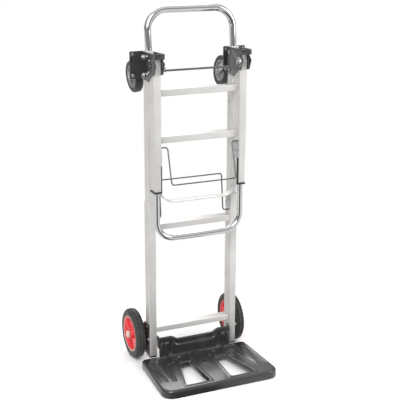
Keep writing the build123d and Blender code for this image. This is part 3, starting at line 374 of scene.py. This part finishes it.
@dataclass
class DressedNodes:
    """CAD nodes that keep their shape, by finish and edge radius."""

    frame: dict
    groups: list[tuple[Finish, float, tuple[str, ...]]] = field(default_factory=lambda: [
        (SATIN_TUBE, 0.4, ("lower_rail_left", "lower_rail_right", "inner_rail_left", "inner_rail_right",
                           "push_tube_left", "push_tube_right", "slide_tubes")),
        (SATIN_BAR, 0.4, ("lower_crossbars", "push_crossbars", "slide_bridge")),
        (CHROME, 0.0, ("top_handle", "push_handle")),
        (ZINC, 0.4, ("frame_rivets", "main_axle", "axle_spacers", "nose_pins", "castor_bolts",
                     "rail_bolts", "cheek_rivets", "pivot_caps", "castor_top_plates",
                     "castor_fork_left", "castor_fork_right", "castor_pin_left",
                     "castor_pin_right", "bridge_rivets", "tube_screws",
                     "lock_pin_upper_left", "lock_pin_upper_right", "lock_pin_lower_left",
                     "lock_pin_lower_right", "lower_lock_plates", "upper_lock_plates")),
        (SPRING_WIRE, 0.0, ("release_rod", "bail_upper", "bail_lower")),
        (POWDER_COAT, 0.7, ("axle_bracket_left", "axle_bracket_right", "castor_bracket_left",
                            "castor_bracket_right", "pivot_bolts")),
        (BLACK_NYLON, 0.6, ("rail_feet", "slide_end_caps", "grip_guides", "pivot_bushes")),
        (GREY_POLY, 0.6, ("rail_guides", "rail_heads", "push_tube_caps")),
        (CASTOR_HUB, 0.6, ("castor_hub_left", "castor_hub_right")),
        (CASTOR_RUBBER, 0.8, ("castor_tyre_left", "castor_tyre_right")),
    ])

    def build(self) -> None:
        """Dress every kept node."""
        for finish, edge, names in self.groups:
            for name in names:
                dress_node(self.frame["nodes"][name], finish, edge)
                LOG.info("dressed %s in %s", name, finish.name)


# ------------------------------------------------------------------------------------ surfaces
@dataclass(frozen=True)
class Patch:
    """A sheet of four-sided faces over a grid of points.

    points: array of rows x columns x 3, in millimetres.
    ring_rows, ring_columns: whether the last row or column joins the first.
    flip: turn the faces over.
    """

    points: np.ndarray
    ring_rows: bool = False
    ring_columns: bool = False
    flip: bool = False

    def faces(self, start: int) -> np.ndarray:
        """Corner numbers of the faces, counted from start."""
        rows, columns = self.points.shape[:2]
        row = np.arange(rows if self.ring_rows else rows - 1)[:, None]
        column = np.arange(columns if self.ring_columns else columns - 1)[None, :]
        next_row, next_column = (row + 1) % rows, (column + 1) % columns
        loop = [row * columns + column, next_row * columns + column,
                next_row * columns + next_column, row * columns + next_column]
        quads = np.stack(np.broadcast_arrays(*loop), -1).reshape(-1, 4) + start
        return quads[:, ::-1] if self.flip else quads

    def mirrored(self) -> Patch:
        """The same sheet on the other side of the truck."""
        return Patch(self.points * np.array([-1.0, 1.0, 1.0]), self.ring_rows, self.ring_columns,
                     not self.flip)


def mesh_of(name: str, patches: list[Patch], closed: bool, crease_deg: float) -> bpy.types.Mesh:
    """Put sheets into one mesh, join their seams and poles, and shade it smooth.

    Args:
        name: the mesh's name.
        patches: the sheets.
        closed: whether they close into a solid, so that outside can be worked out.
        crease_deg: edges sharper than this stay hard.

    Returns:
        The mesh, in metres.
    """
    starts = np.cumsum([0] + [patch.points.shape[0] * patch.points.shape[1] for patch in patches])
    points = np.concatenate([patch.points.reshape(-1, 3) for patch in patches]) * MM
    quads = np.concatenate([patch.faces(start) for patch, start in zip(patches, starts)])
    mesh = bpy.data.meshes.new(name)
    mesh.vertices.add(len(points))
    mesh.vertices.foreach_set("co", points.astype(np.float32).ravel())
    mesh.loops.add(quads.size)
    mesh.loops.foreach_set("vertex_index", quads.astype(np.int32).ravel())
    mesh.polygons.add(len(quads))
    mesh.polygons.foreach_set("loop_start", np.arange(0, quads.size, 4, dtype=np.int32))
    mesh.update(calc_edges=True)
    shape = bmesh.new()
    shape.from_mesh(mesh)
    bmesh.ops.remove_doubles(shape, verts=shape.verts, dist=2e-6)
    bmesh.ops.dissolve_degenerate(shape, edges=shape.edges, dist=1e-6)
    if closed:
        bmesh.ops.recalc_face_normals(shape, faces=shape.faces)
    shape.to_mesh(mesh)
    shape.free()
    mesh.shade_smooth()
    mesh.set_sharp_from_angle(angle=math.radians(crease_deg))
    return mesh


@dataclass(frozen=True)
class Place:
    """Where a finished piece belongs: its body, its material slot and the CAD nodes it stands for."""

    body: str
    slot: str
    nodes: tuple[str, ...] = ()


def add_piece(name: str, patches: list[Patch], finish: Finish, place: Place, closed: bool = True,
              crease_deg: float = 35.0, wall: float = 0.0) -> bpy.types.Object:
    """Make a finished piece from sheets and give it its body and finish.

    Args:
        name: the piece's name.
        patches: its sheets, in millimetres.
        finish: its finish.
        place: its body, slot and CAD nodes.
        closed: whether the sheets close into a solid.
        crease_deg: edges sharper than this stay hard.
        wall: thickness given inwards to an open sheet, in millimetres.

    Returns:
        The new object.
    """
    piece = bpy.data.objects.new(name, mesh_of(name, patches, closed, crease_deg))
    bpy.context.scene.collection.objects.link(piece)
    piece.data.materials.append(finish.build())
    if wall:
        thick = piece.modifiers.new("wall", "SOLIDIFY")
        thick.thickness = wall * MM
        thick.offset = -1.0
        thick.use_even_offset = True
    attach(piece, place.body)
    if place.nodes:
        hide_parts(*place.nodes)
    LOG.info("%s: %d faces on %s", name, len(piece.data.polygons), place.body)
    return piece


def smooth_step(value: np.ndarray, low: float, high: float) -> np.ndarray:
    """Rise from 0 at low to 1 at high along 3t^2 - 2t^3."""
    t = np.clip((value - low) / (high - low), 0.0, 1.0)
    return t * t * (3 - 2 * t)


def turned(profile: np.ndarray, centre: tuple[float, float, float], steps: int) -> np.ndarray:
    """Turn a profile about a line along X.

    Row i is the profile at angle 2 pi i / steps: x = centre + axial, and y and z are the radius
    times cosine and sine of the angle.

    Args:
        profile: columns of axial place and radius, in millimetres.
        centre: a point of the line.
        steps: number of angles.

    Returns:
        A grid of steps x profile points.
    """
    angle = np.linspace(0, 2 * np.pi, steps, endpoint=False)[:, None]
    axial, radius = profile[:, 0][None, :], profile[:, 1][None, :]
    grid = np.stack(np.broadcast_arrays(axial, radius * np.cos(angle), radius * np.sin(angle)), -1)
    return grid + np.array(centre)


def resampled(path: np.ndarray, count: int) -> np.ndarray:
    """Points at even distances along a polyline.

    Args:
        path: its corner points.
        count: number of points, both ends included.

    Returns:
        The even points.
    """
    reach = np.concatenate([[0.0], np.cumsum(np.linalg.norm(np.diff(path, axis=0), axis=1))])
    spots = np.linspace(0, reach[-1], count)
    return np.stack([np.interp(spots, reach, path[:, k]) for k in range(path.shape[1])], -1)


def rounded_loop(corner_points: list[tuple[float, float]], radii: list[float],
                 per_side: int) -> np.ndarray:
    """A closed outline with rounded corners, cut at the middle of each corner.

    Each side runs from the middle of one corner's arc, along the straight, to the middle of the
    next corner's arc, with per_side points spaced evenly, so outlines with the same number of
    corners match point for point.

    Args:
        corner_points: sharp corners, in order.
        radii: radius of each corner; 0 keeps it sharp.
        per_side: points on each side.

    Returns:
        Points of the outline, sides in order.
    """
    sharp = np.array(corner_points, float)
    count = len(sharp)
    arcs = []
    for k in range(count):
        before = sharp[k - 1] - sharp[k]
        after = sharp[(k + 1) % count] - sharp[k]
        before, after = before / np.linalg.norm(before), after / np.linalg.norm(after)
        half = np.arccos(np.clip(before @ after, -1, 1)) / 2
        middle = (before + after) / np.linalg.norm(before + after)
        centre = sharp[k] + middle * radii[k] / np.sin(half)
        start = sharp[k] + before * radii[k] / np.tan(half)
        end = sharp[k] + after * radii[k] / np.tan(half)
        turn = np.linspace(0, 1, ARC_POINTS)[:, None]
        chord = start * (1 - turn) + end * turn - centre
        length = np.linalg.norm(chord, axis=1, keepdims=True)
        arcs.append(centre + chord / np.maximum(length, 1e-9) * radii[k] if radii[k] else np.repeat(
            sharp[k][None], ARC_POINTS, 0))
    sides = []
    for k in range(count):
        path = np.concatenate([arcs[k][ARC_POINTS // 2:], arcs[(k + 1) % count][:ARC_POINTS // 2 + 1]])
        sides.append(resampled(path, per_side + 1)[:-1])
    return np.concatenate(sides)


def outward(loop: np.ndarray, closed: bool = True) -> np.ndarray:
    """Unit normals in plan of an anticlockwise outline, to the right of its direction.

    Args:
        loop: its points.
        closed: whether the last point joins the first.

    Returns:
        One unit vector for each point.
    """
    ahead = np.roll(loop, -1, 0) - np.roll(loop, 1, 0) if closed else np.gradient(loop, axis=0)
    ahead = ahead / np.linalg.norm(ahead, axis=1, keepdims=True)
    return np.stack([ahead[:, 1], -ahead[:, 0]], -1)


def rolled_edge(loop: np.ndarray, normals: np.ndarray, top: float, radius: float, bottom: float,
                steps: int = 7) -> np.ndarray:
    """Roll a sheet's edge down from its outline.

    Row by row, the outline moves along its normals by radius x sin a and down by
    radius x (1 - cos a) for a from 0 to 90 degrees, then straight down to bottom.

    Args:
        loop: outline in plan.
        normals: direction in which the edge rolls.
        top: height of the sheet.
        radius: radius of the roll.
        bottom: height of the edge's end.
        steps: rows in the roll.

    Returns:
        Grid of rows x outline points x 3.
    """
    angle = np.linspace(0, np.pi / 2, steps)
    out = np.concatenate([radius * np.sin(angle), np.full(3, radius)])
    drop = np.concatenate([radius * (1 - np.cos(angle)),
                           np.linspace(radius, top - bottom, 4)[1:]])
    plan = loop[None] + normals[None] * out[:, None, None]
    height = top - drop[:, None] + 0 * plan[:, :, 0]
    return np.concatenate([plan, height[..., None]], -1)


# ------------------------------------------------------------------------------------ nose plate
@dataclass(frozen=True)
class Press:
    """One pressed feature of a sheet: a straight in plan, half its flat and full width, and its rise."""

    start: tuple[float, float]
    end: tuple[float, float]
    flat: float
    half: float
    rise: float

    def height(self, x: np.ndarray, y: np.ndarray) -> np.ndarray:
        """Full rise within flat of the straight, falling to 0 at half along 3t^2 - 2t^3."""
        across = np.array(self.end, float) - np.array(self.start, float)
        length = max(float(across @ across), 1e-9)
        along = np.clip(((x - self.start[0]) * across[0] + (y - self.start[1]) * across[1]) / length, 0, 1)
        away = np.hypot(x - self.start[0] - along * across[0], y - self.start[1] - along * across[1])
        return self.rise * (1 - smooth_step(away, self.flat, self.half))


@dataclass
class NosePlate:
    """The pressed nose plate: two windows, long beads, a middle tongue, pockets and flutes.

    Places in plan are counted from the lower rails' front face, at rail_front.
    """

    rail_front: float = 38.0
    front: float = -221.0
    back: float = 36.0
    top: float = 26.0
    half_back: float = 198.0
    half_front: float = 210.0
    front_corner: float = 36.0
    back_corner: float = 14.0
    edge_radius: float = 7.0
    sheet: float = 2.5
    window: tuple[tuple[float, float], ...] = ((45.0, -80.0), (87.0, -80.0),
                                               (129.0, -237.0), (38.0, -237.0))
    window_corner: float = 9.0
    rim_rise: float = 1.8
    lip_radius: float = 4.0
    lip_bottom: float = 15.0
    per_side: int = 120
    rows: int = 64
    presses: tuple[Press, ...] = (
        Press((176.0, -42.0), (176.0, -186.0), 2.5, 7.0, -3.4),       # long bead by the side
        Press((191.0, -30.0), (198.0, -190.0), 1.0, 5.0, 0.9),        # raised border outside it
        Press((0.0, -14.0), (0.0, -112.0), 10.0, 17.0, 3.6),          # middle tongue
        Press((0.0, -30.0), (0.0, -104.0), 2.0, 9.0, -3.8),           # groove in the tongue
        Press((66.0, -34.0), (66.0, -46.0), 12.0, 27.0, -6.0),        # pocket behind the window
        Press((34.0, -26.0), (34.0, -62.0), 2.0, 7.0, 2.0),           # ridges between the pockets
        Press((99.0, -24.0), (104.0, -62.0), 2.0, 8.0, 2.2),
        Press((128.0, -34.0), (140.0, -60.0), 7.0, 22.0, -6.5),       # pocket before the rail's foot
        Press((124.0, -74.0), (149.0, -190.0), 1.5, 10.0, -3.6),      # flute past the window
        Press((155.0, -66.0), (163.0, -170.0), 1.0, 9.0, 1.6),        # ridge between flute and bead
    )

    def height(self, x: np.ndarray, y: np.ndarray) -> np.ndarray:
        """Sum of the presses, with a raised rim round each window, fading to 0 at the edge."""
        side, ahead = np.abs(x), y - self.rail_front
        rise = sum(press.height(side, ahead) for press in self.presses)
        sides = zip(self.window, self.window[1:] + self.window[:1])
        rims = [Press(start, end, 4.0, 11.0, self.rim_rise).height(side, ahead) for start, end in sides]
        rise = rise + np.maximum.reduce(rims)
        fade = smooth_step(y, self.front + self.edge_radius, self.front + self.edge_radius + 8)
        return rise * fade * smooth_step(self.back - self.edge_radius - y, 0.0, 6.0)

    def build(self) -> None:
        """Make the plate from a right half and its mirror image."""
        radius = self.edge_radius
        window = rounded_loop([(x, self.rail_front + y) for x, y in self.window],
                              [self.window_corner] * 4, self.per_side)
        away = outward(window)
        if away[0] @ (window[0] - window.mean(0)) < 0:
            away = -away
        inner = window + away * self.lip_radius
        outer = rounded_loop(
            [(0.0, self.back - radius), (self.half_back - radius, self.back - radius),
             (self.half_front - radius, self.front + radius), (0.0, self.front + radius)],
            [0.0, self.back_corner - radius, self.front_corner - radius, 0.0], self.per_side)
        share = np.linspace(0, 1, self.rows)[:, None, None]
        plan = inner[None] * (1 - share) + outer[None] * share
        top = np.concatenate([plan, (self.top + self.height(plan[..., 0], plan[..., 1]))[..., None]], -1)
        edge = outer[:3 * self.per_side + 1]
        edge_out = outward(edge, closed=False)
        edge_out[0], edge_out[-1] = (0.0, 1.0), (0.0, -1.0)
        if edge_out[self.per_side * 3 // 2] @ np.array([1.0, 0.0]) < 0:
            edge_out[1:-1] = -edge_out[1:-1]
        skirt = rolled_edge(edge, edge_out, self.top, radius, 0.0)
        lip = rolled_edge(inner, -away, self.top, self.lip_radius, self.lip_bottom)
        lip[:, :, 2] += top[0, :, 2][None] - self.top
        right = [Patch(top, ring_columns=True), Patch(skirt), Patch(lip[::-1], ring_columns=True)]
        add_piece("nose_plate_pressing", right + [patch.mirrored() for patch in right],
                  POWDER_COAT, Place("toe", "black_steel", ("nose_plate",)), closed=False,
                  wall=self.sheet)


# ------------------------------------------------------------------------------------ upright
@dataclass(frozen=True)
class Flute:
    """An upright flute: distance from the middle, half its flat and full width, and how far forward."""

    middle: float
    flat: float
    half: float
    forward: float

    def depth(self, side: np.ndarray) -> np.ndarray:
        """Full depth within flat of the middle, falling to 0 at half along 3t^2 - 2t^3."""
        return self.forward * (1 - smooth_step(np.abs(side - self.middle), self.flat, self.half))


@dataclass
class NoseBack:
    """The upright behind the plate: a dipping rolled top edge, flutes, and two pinned ears."""

    rail_front: float = 38.0
    half: float = 135.8
    face: float = -15.4
    foot: float = 26.0
    middle_top: float = 91.0
    ear_top: float = 103.5
    roll: float = 4.5
    sheet: float = 2.4
    pin: tuple[float, float] = (8.0, 95.0)
    pin_radius: float = 4.1
    ear_radius: float = 9.0
    ear_drop: float = 34.0        # from the pin down to the ear's lower edge
    dip: tuple[float, float] = (62.0, 92.0)          # where the top edge rises to the ears
    flutes: tuple[Flute, ...] = (Flute(108.0, 3.0, 9.0, 5.5), Flute(92.0, 2.0, 9.0, -4.0),
                                 Flute(126.0, 1.5, 6.5, 4.0))
    flute_end: tuple[float, float] = (78.0, 87.0)    # heights between which the flutes fade out
    hollow: Flute = Flute(17.0, 3.0, 10.0, 3.5)      # by distance under the top edge
    hollow_end: tuple[float, float] = (70.0, 88.0)   # distances from the middle where it fades
    sweep: float = 14.0           # height of the foot's forward sweep
    sweep_share: float = 0.7      # its reach forward, over its height
    gap: float = 0.4              # between the foot and the plate's top
    columns: int = 300
    rows: int = 90

    def top_edge(self, x: np.ndarray) -> np.ndarray:
        """Height of the top edge: low in the middle, and rising to the ears."""
        return self.middle_top + (self.ear_top - self.middle_top) * smooth_step(np.abs(x), *self.dip)

    def depth(self, x: np.ndarray, z: np.ndarray) -> np.ndarray:
        """How far the sheet stands forward of its face.

        The upright flutes fade out below the lower crossbar's swept space. A long hollow runs under
        the top edge, and the foot sweeps forward as a quarter circle.
        """
        side = np.abs(x)
        fluted = smooth_step(z, self.foot + 2, self.foot + 20) * (1 - smooth_step(z, *self.flute_end))
        forward = sum(flute.depth(side) * fluted for flute in self.flutes)
        hollow = self.hollow.depth(self.top_edge(x) - z) * (1 - smooth_step(side, *self.hollow_end))
        low = np.clip((self.foot + self.sweep - z) / self.sweep, 0.0, 1.0)
        swept = self.sweep * (1 - np.sqrt(np.maximum(1 - low ** 2, 0.0))) * self.sweep_share
        return forward - hollow + swept

    def ear(self, side: Side) -> list[Patch]:
        """A plate round the hinge pin: rings from the hole to a square-ended outline, and two rims."""
        turn = np.linspace(0, 2 * np.pi, 96, endpoint=False)
        way = np.stack([np.cos(turn), np.sin(turn)], -1)
        front = self.pin[0] - self.face - 1.0
        level = np.where(way[:, 1] < 0, self.ear_drop, self.ear_radius - 1.0)
        square = np.minimum(front / np.maximum(-way[:, 0], 1e-6),
                            level / np.maximum(np.abs(way[:, 1]), 1e-6))
        reach = np.where(way[:, 0] < 0, square, self.ear_radius)
        reach = np.maximum(reach, self.ear_radius - 1.0)
        share = np.linspace(0, 1, 8)[:, None]
        radius = self.pin_radius * (1 - share) + reach[None] * share
        y = self.rail_front + self.pin[0] + radius * way[None, :, 0]
        z = self.pin[1] + radius * way[None, :, 1]
        near = np.stack([np.full_like(y, side.value * (self.half - self.sheet)), y, z], -1)
        far = np.stack([np.full_like(y, side.value * self.half), y, z], -1)
        rims = [Patch(np.stack([near[k], far[k]]), ring_columns=True) for k in (0, -1)]
        return [Patch(near, ring_columns=True), Patch(far, ring_columns=True), *rims]

    def build(self) -> None:
        """Make the wall with its rolled edge, then the ears."""
        x = np.linspace(-self.half, self.half, self.columns)[None, :]
        share = np.linspace(0, 1, self.rows)[:, None]
        crest = self.top_edge(x) - self.roll
        z = self.foot + self.gap + (crest - self.foot - self.gap) * share
        y = self.rail_front + self.face - self.depth(x, z)
        wall = np.stack(np.broadcast_arrays(x, y, z), -1)
        angle = np.linspace(0, np.pi, 12)[1:, None]
        lips = [np.stack(np.broadcast_arrays(x, y[-1:] + self.roll - radius * np.cos(angle),
                                             crest + radius * np.sin(angle)), -1)
                for radius in (self.roll, self.roll - self.sheet)]
        sheet = np.concatenate([wall, lips[0]])
        behind = np.concatenate([wall + np.array([0.0, self.sheet, 0.0]), lips[1]])
        edges = [Patch(np.stack([sheet[k], behind[k]])) for k in (0, -1)]
        edges += [Patch(np.stack([sheet[:, k], behind[:, k]])) for k in (0, -1)]
        add_piece("nose_upright_pressing", [Patch(sheet), Patch(behind), *edges,
                                            *self.ear(Side.LEFT), *self.ear(Side.RIGHT)],
                  POWDER_COAT, Place("toe", "black_steel", ("nose_back",)))


# ------------------------------------------------------------------------------------ main wheels
@dataclass
class MainWheel:
    """A main wheel: grooved tyre, ribbed red hub, a pale ring painted as the highlight on the tyre's bead,
    and the axle's cap.
    """

    side: Side
    middle: float = 191.5
    axle_y: float = 132.0
    radius: float = 89.0
    half: float = 18.0
    shoulder: float = 71.0
    rim: float = 63.0
    rim_half: float = 15.0
    bore: float = 6.06
    boss: float = 17.0
    ribs: int = 5
    dish: tuple[float, float] = (50.0, 56.0)     # radii where the dish rises to the rim
    outer_dish: tuple[float, float] = (12.0, 0.62)   # its depth, and the ribs' share of it
    inner_dish: tuple[float, float] = (9.0, 0.9)
    power: float = 2.8            # of the crown's superellipse
    groove_place: float = 5.5     # either side of the tread's middle
    groove_depth: float = 3.0
    cut_depth: float = 2.6
    pitches: int = 36             # cuts across each shoulder
    steps: int = 704
    # The pale ring at the tyre's bead is a painted highlight: a cream ring laid where light catches the
    # bead.
    trim_place: tuple[float, float] = (15.6, 62.6)   # out from the wheel's middle, and radius
    trim_section: tuple[float, float] = (0.9, 1.3)   # half its width, and half its height
    cap_gap: float = 0.5          # between the boss and the cap

    @property
    def centre(self) -> tuple[float, float, float]:
        """Middle of the wheel."""
        return self.side.value * self.middle, self.axle_y, self.radius

    def tyre(self) -> None:
        """Closed section turned about the axle, with grooves cut from its radius.

        The crown is a superellipse from the shoulders to the tread. Two grooves run round it, and
        cuts cross each shoulder, staggered by half a pitch; each is a smooth notch in the radius.
        """
        turn = np.linspace(0, np.pi, 61)
        crown_x = self.half * np.sign(np.cos(turn)) * np.abs(np.cos(turn)) ** (2 / self.power)
        crown_r = self.shoulder + (self.radius - self.shoulder) * np.sin(turn) ** (2 / self.power)
        wall = np.array([[-17.6, 69.0], [-16.9, 67.2], [-17.3, 66.4], [-16.0, 64.4], [-15.0, 63.0]])
        base = np.stack([np.linspace(-14.0, 14.0, 5), np.full(5, self.rim)], -1)
        profile = np.concatenate([np.stack([crown_x, crown_r], -1), wall, base, wall[::-1] * [-1, 1]])
        grid = turned(profile, (0.0, 0.0, 0.0), self.steps)
        angle = np.arctan2(grid[..., 2], grid[..., 1])
        radius = np.hypot(grid[..., 1], grid[..., 2])
        across = grid[..., 0]
        on_crown = smooth_step(radius, self.shoulder + 1.0, self.shoulder + 8.0)
        groove = 1 - smooth_step(np.abs(np.abs(across) - self.groove_place), 1.1, 2.0)
        phase = (angle * self.pitches / (2 * np.pi) + 0.25 * np.sign(across) + np.abs(across) * 0.02) % 1.0
        cut = (1 - smooth_step(np.abs(phase - 0.5), 0.12, 0.19)) * smooth_step(np.abs(across), 7.6, 9.2)
        radius = radius - on_crown * np.maximum(self.groove_depth * groove, self.cut_depth * cut)
        grid = np.stack([across, radius * np.cos(angle), radius * np.sin(angle)], -1)
        grid = grid + np.array(self.centre)
        add_piece(f"tyre_tread_{self.side.hand}", [Patch(grid, ring_rows=True, ring_columns=True)],
                  TYRE_RUBBER,
                  Place(f"wheel_{self.side.hand}", "wheel_rubber", (f"tyre_{self.side.hand}",)))

    def face(self, outer: bool) -> np.ndarray:
        """One face of the hub, as a height over rings from the bore to the rim.

        The height is the rim's, with a boss in the middle and a dish between them; ribs stand in
        the dish at even angles, each a smooth function of the distance from its middle line.
        """
        middle_rings = np.linspace(self.bore + 0.5, self.rim - 0.4, 74)
        rings = np.concatenate([[self.bore], middle_rings, [self.rim]])
        angle = np.linspace(0, 2 * np.pi, 360, endpoint=False)[:, None]
        gap = 2 * np.pi / self.ribs
        across = np.abs((angle - np.pi / 2 + gap / 2) % gap - gap / 2) * rings[None, :]
        rib = 1 - smooth_step(across, 3.5, 6.5)
        dish = smooth_step(rings, self.boss + 1, self.boss + 5) * (1 - smooth_step(rings, *self.dish))
        boss = 1 - smooth_step(rings, self.boss - 1.5, self.boss + 0.5)
        depth, filled = self.outer_dish if outer else self.inner_dish
        height = self.rim_half + (self.half - self.rim_half) * boss - depth * dish * (1 - filled * rib)
        sign = self.side.value if outer else -self.side.value
        grid = np.stack(np.broadcast_arrays(sign * height, rings * np.cos(angle),
                                            rings * np.sin(angle)), -1)
        return grid + np.array(self.centre)

    def hub(self) -> None:
        """Two faces joined by the rim and the bore."""
        outer, inner = self.face(True), self.face(False)
        rim = np.stack([outer[:, -1], inner[:, -1]], 1)
        bore = np.stack([outer[:, 0], inner[:, 0]], 1)
        add_piece(f"hub_moulding_{self.side.hand}",
                  [Patch(part, ring_rows=True) for part in (outer, inner, rim, bore)], RED_POLY,
                  Place(f"wheel_{self.side.hand}", "red_plastic", (f"wheel_hub_{self.side.hand}",)))

    def trim(self) -> None:
        """Thin pale ring where the tyre's bead meets the rim, a painted highlight on the bead: a small
        circle turned about the axle.
        """
        turn = np.linspace(0, 2 * np.pi, 12, endpoint=False)
        (out, radius), (wide, high) = self.trim_place, self.trim_section
        ring = np.stack([self.side.value * out + wide * np.cos(turn), radius + high * np.sin(turn)], -1)
        add_piece(f"rim_trim_{self.side.hand}",
                  [Patch(turned(ring, self.centre, 240), ring_rows=True, ring_columns=True)],
                  CREAM_NYLON_AND_BEAD_HIGHLIGHT, Place(f"wheel_{self.side.hand}", "red_plastic"))

    def cap(self) -> None:
        """Axle cap: a turned cup with a rolled rim and a hollow middle."""
        start = self.half + self.cap_gap
        profile = np.array([[0.0, 0.0], [0.0, 11.4], [0.6, 12.0], [5.0, 12.0], [7.0, 11.0],
                            [7.6, 9.4], [7.0, 7.6], [6.2, 6.6], [3.2, 5.8], [3.0, 0.0]])
        profile = profile * [self.side.value, 1.0] + [self.side.value * start, 0.0]
        fine = resampled(profile, 60)
        add_piece(f"axle_cap_{self.side.hand}",
                  [Patch(turned(fine, self.centre, 96), ring_rows=True)], CREAM_NYLON_AND_BEAD_HIGHLIGHT,
                  Place("frame", "zinc_steel", ("axle_caps",)))

    def build(self) -> None:
        """Make the tyre, the hub, the painted highlight ring at the bead and the cap."""
        self.tyre()
        self.hub()
        self.trim()
        self.cap()


# ------------------------------------------------------------------------------------ studio
@dataclass
class Studio:
    """Floor, lights, sky and camera."""

    floor_size: float = 60.0
    camera_place: tuple[float, float, float] = (-1.2362, -2.8277, 1.5383)
    heading_deg: float = -23.73
    dip_deg: float = 16.91
    roll_deg: float = 0.25
    lens: float = 85.88

    def build(self) -> None:
        """Make the whole studio."""
        self._camera()
        self._floor()
        self._lights()
        self._sky()

    def _camera(self) -> None:
        """Aim the camera by heading, dip and roll."""
        data = bpy.data.cameras.new("studio_camera")
        data.lens = self.lens
        data.sensor_width = 36.0
        data.clip_start, data.clip_end = 0.1, 200.0
        camera = bpy.data.objects.new("studio_camera", data)
        heading, dip = math.radians(self.heading_deg), math.radians(self.dip_deg)
        forward = Vector((-math.sin(heading) * math.cos(dip), math.cos(heading) * math.cos(dip),
                          -math.sin(dip)))
        camera.rotation_mode = "QUATERNION"
        camera.rotation_quaternion = (forward.to_track_quat("-Z", "Y")
                                      @ Quaternion((0, 0, 1), math.radians(self.roll_deg)))
        camera.location = self.camera_place
        bpy.context.scene.collection.objects.link(camera)
        bpy.context.scene.camera = camera

    def _floor(self) -> None:
        """One wide pale floor under the wheels."""
        half = self.floor_size / 2
        mesh = bpy.data.meshes.new("studio_floor")
        mesh.from_pydata([(-half, -half, 0), (half, -half, 0), (half, half, 0), (-half, half, 0)], [],
                         [(0, 1, 2, 3)])
        floor = bpy.data.objects.new("studio_floor", mesh)
        mesh.materials.append(studio_floor_material())
        bpy.context.scene.collection.objects.link(floor)

    def _lights(self) -> None:
        """Three large soft boxes: key from the front left, fill from the right and one from behind."""
        for name, place, power, size in (("key_box", (-2.6, -3.4, 3.6), 190, 2.6),
                                         ("fill_box", (3.4, -2.2, 2.4), 80, 2.4),
                                         ("back_box", (0.6, 3.6, 3.2), 70, 2.6)):
            data = bpy.data.lights.new(name, "AREA")
            data.shape = "SQUARE"
            data.size = size
            data.energy = power
            lamp = bpy.data.objects.new(name, data)
            lamp.location = place
            lamp.rotation_mode = "QUATERNION"
            lamp.rotation_quaternion = (Vector((0, 0, 0.5)) - Vector(place)).to_track_quat("-Z", "Y")
            bpy.context.scene.collection.objects.link(lamp)

    def _sky(self) -> None:
        """Soft sky: bright overhead, a greyer band at the horizon for metals to reflect."""
        world = bpy.data.worlds.new("studio_sky")
        bpy.context.scene.world = world
        world.use_nodes = True
        tree = world.node_tree
        tree.nodes.clear()
        way = add_node(tree, "ShaderNodeTexCoord").outputs["Generated"]
        height = add_node(tree, "ShaderNodeSeparateXYZ", inputs={"Vector": way}).outputs["Z"]
        band = add_node(tree, "ShaderNodeMapRange", inputs={"Value": height, "From Min": -0.1,
                                                            "From Max": 0.9})
        shade = colour_ramp(tree, band.outputs["Result"], [(0.0, "8e8e8e"), (0.35, "a8a8a8"),
                                                           (1.0, "ffffff")])
        lit = add_node(tree, "ShaderNodeBackground", inputs={"Color": shade, "Strength": 0.9})
        seen = add_node(tree, "ShaderNodeBackground", inputs={"Color": (1, 1, 1, 1), "Strength": 1.0})
        ray = add_node(tree, "ShaderNodeLightPath").outputs["Is Camera Ray"]
        mix = add_node(tree, "ShaderNodeMixShader", inputs={
            0: ray, 1: lit.outputs["Background"], 2: seen.outputs["Background"]})
        add_node(tree, "ShaderNodeOutputWorld", inputs={"Surface": mix.outputs["Shader"]})
        bpy.context.scene.view_settings.view_transform = "Standard"


def main() -> None:
    """Load the frame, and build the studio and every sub-assembly."""
    logging.basicConfig(level=logging.INFO, format="%(name)s: %(message)s")
    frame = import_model()
    Studio().build()
    DressedNodes(frame).build()
    NosePlate().build()
    NoseBack().build()
    for side in Side:
        MainWheel(side).build()


if __name__ == "__main__":
    main()
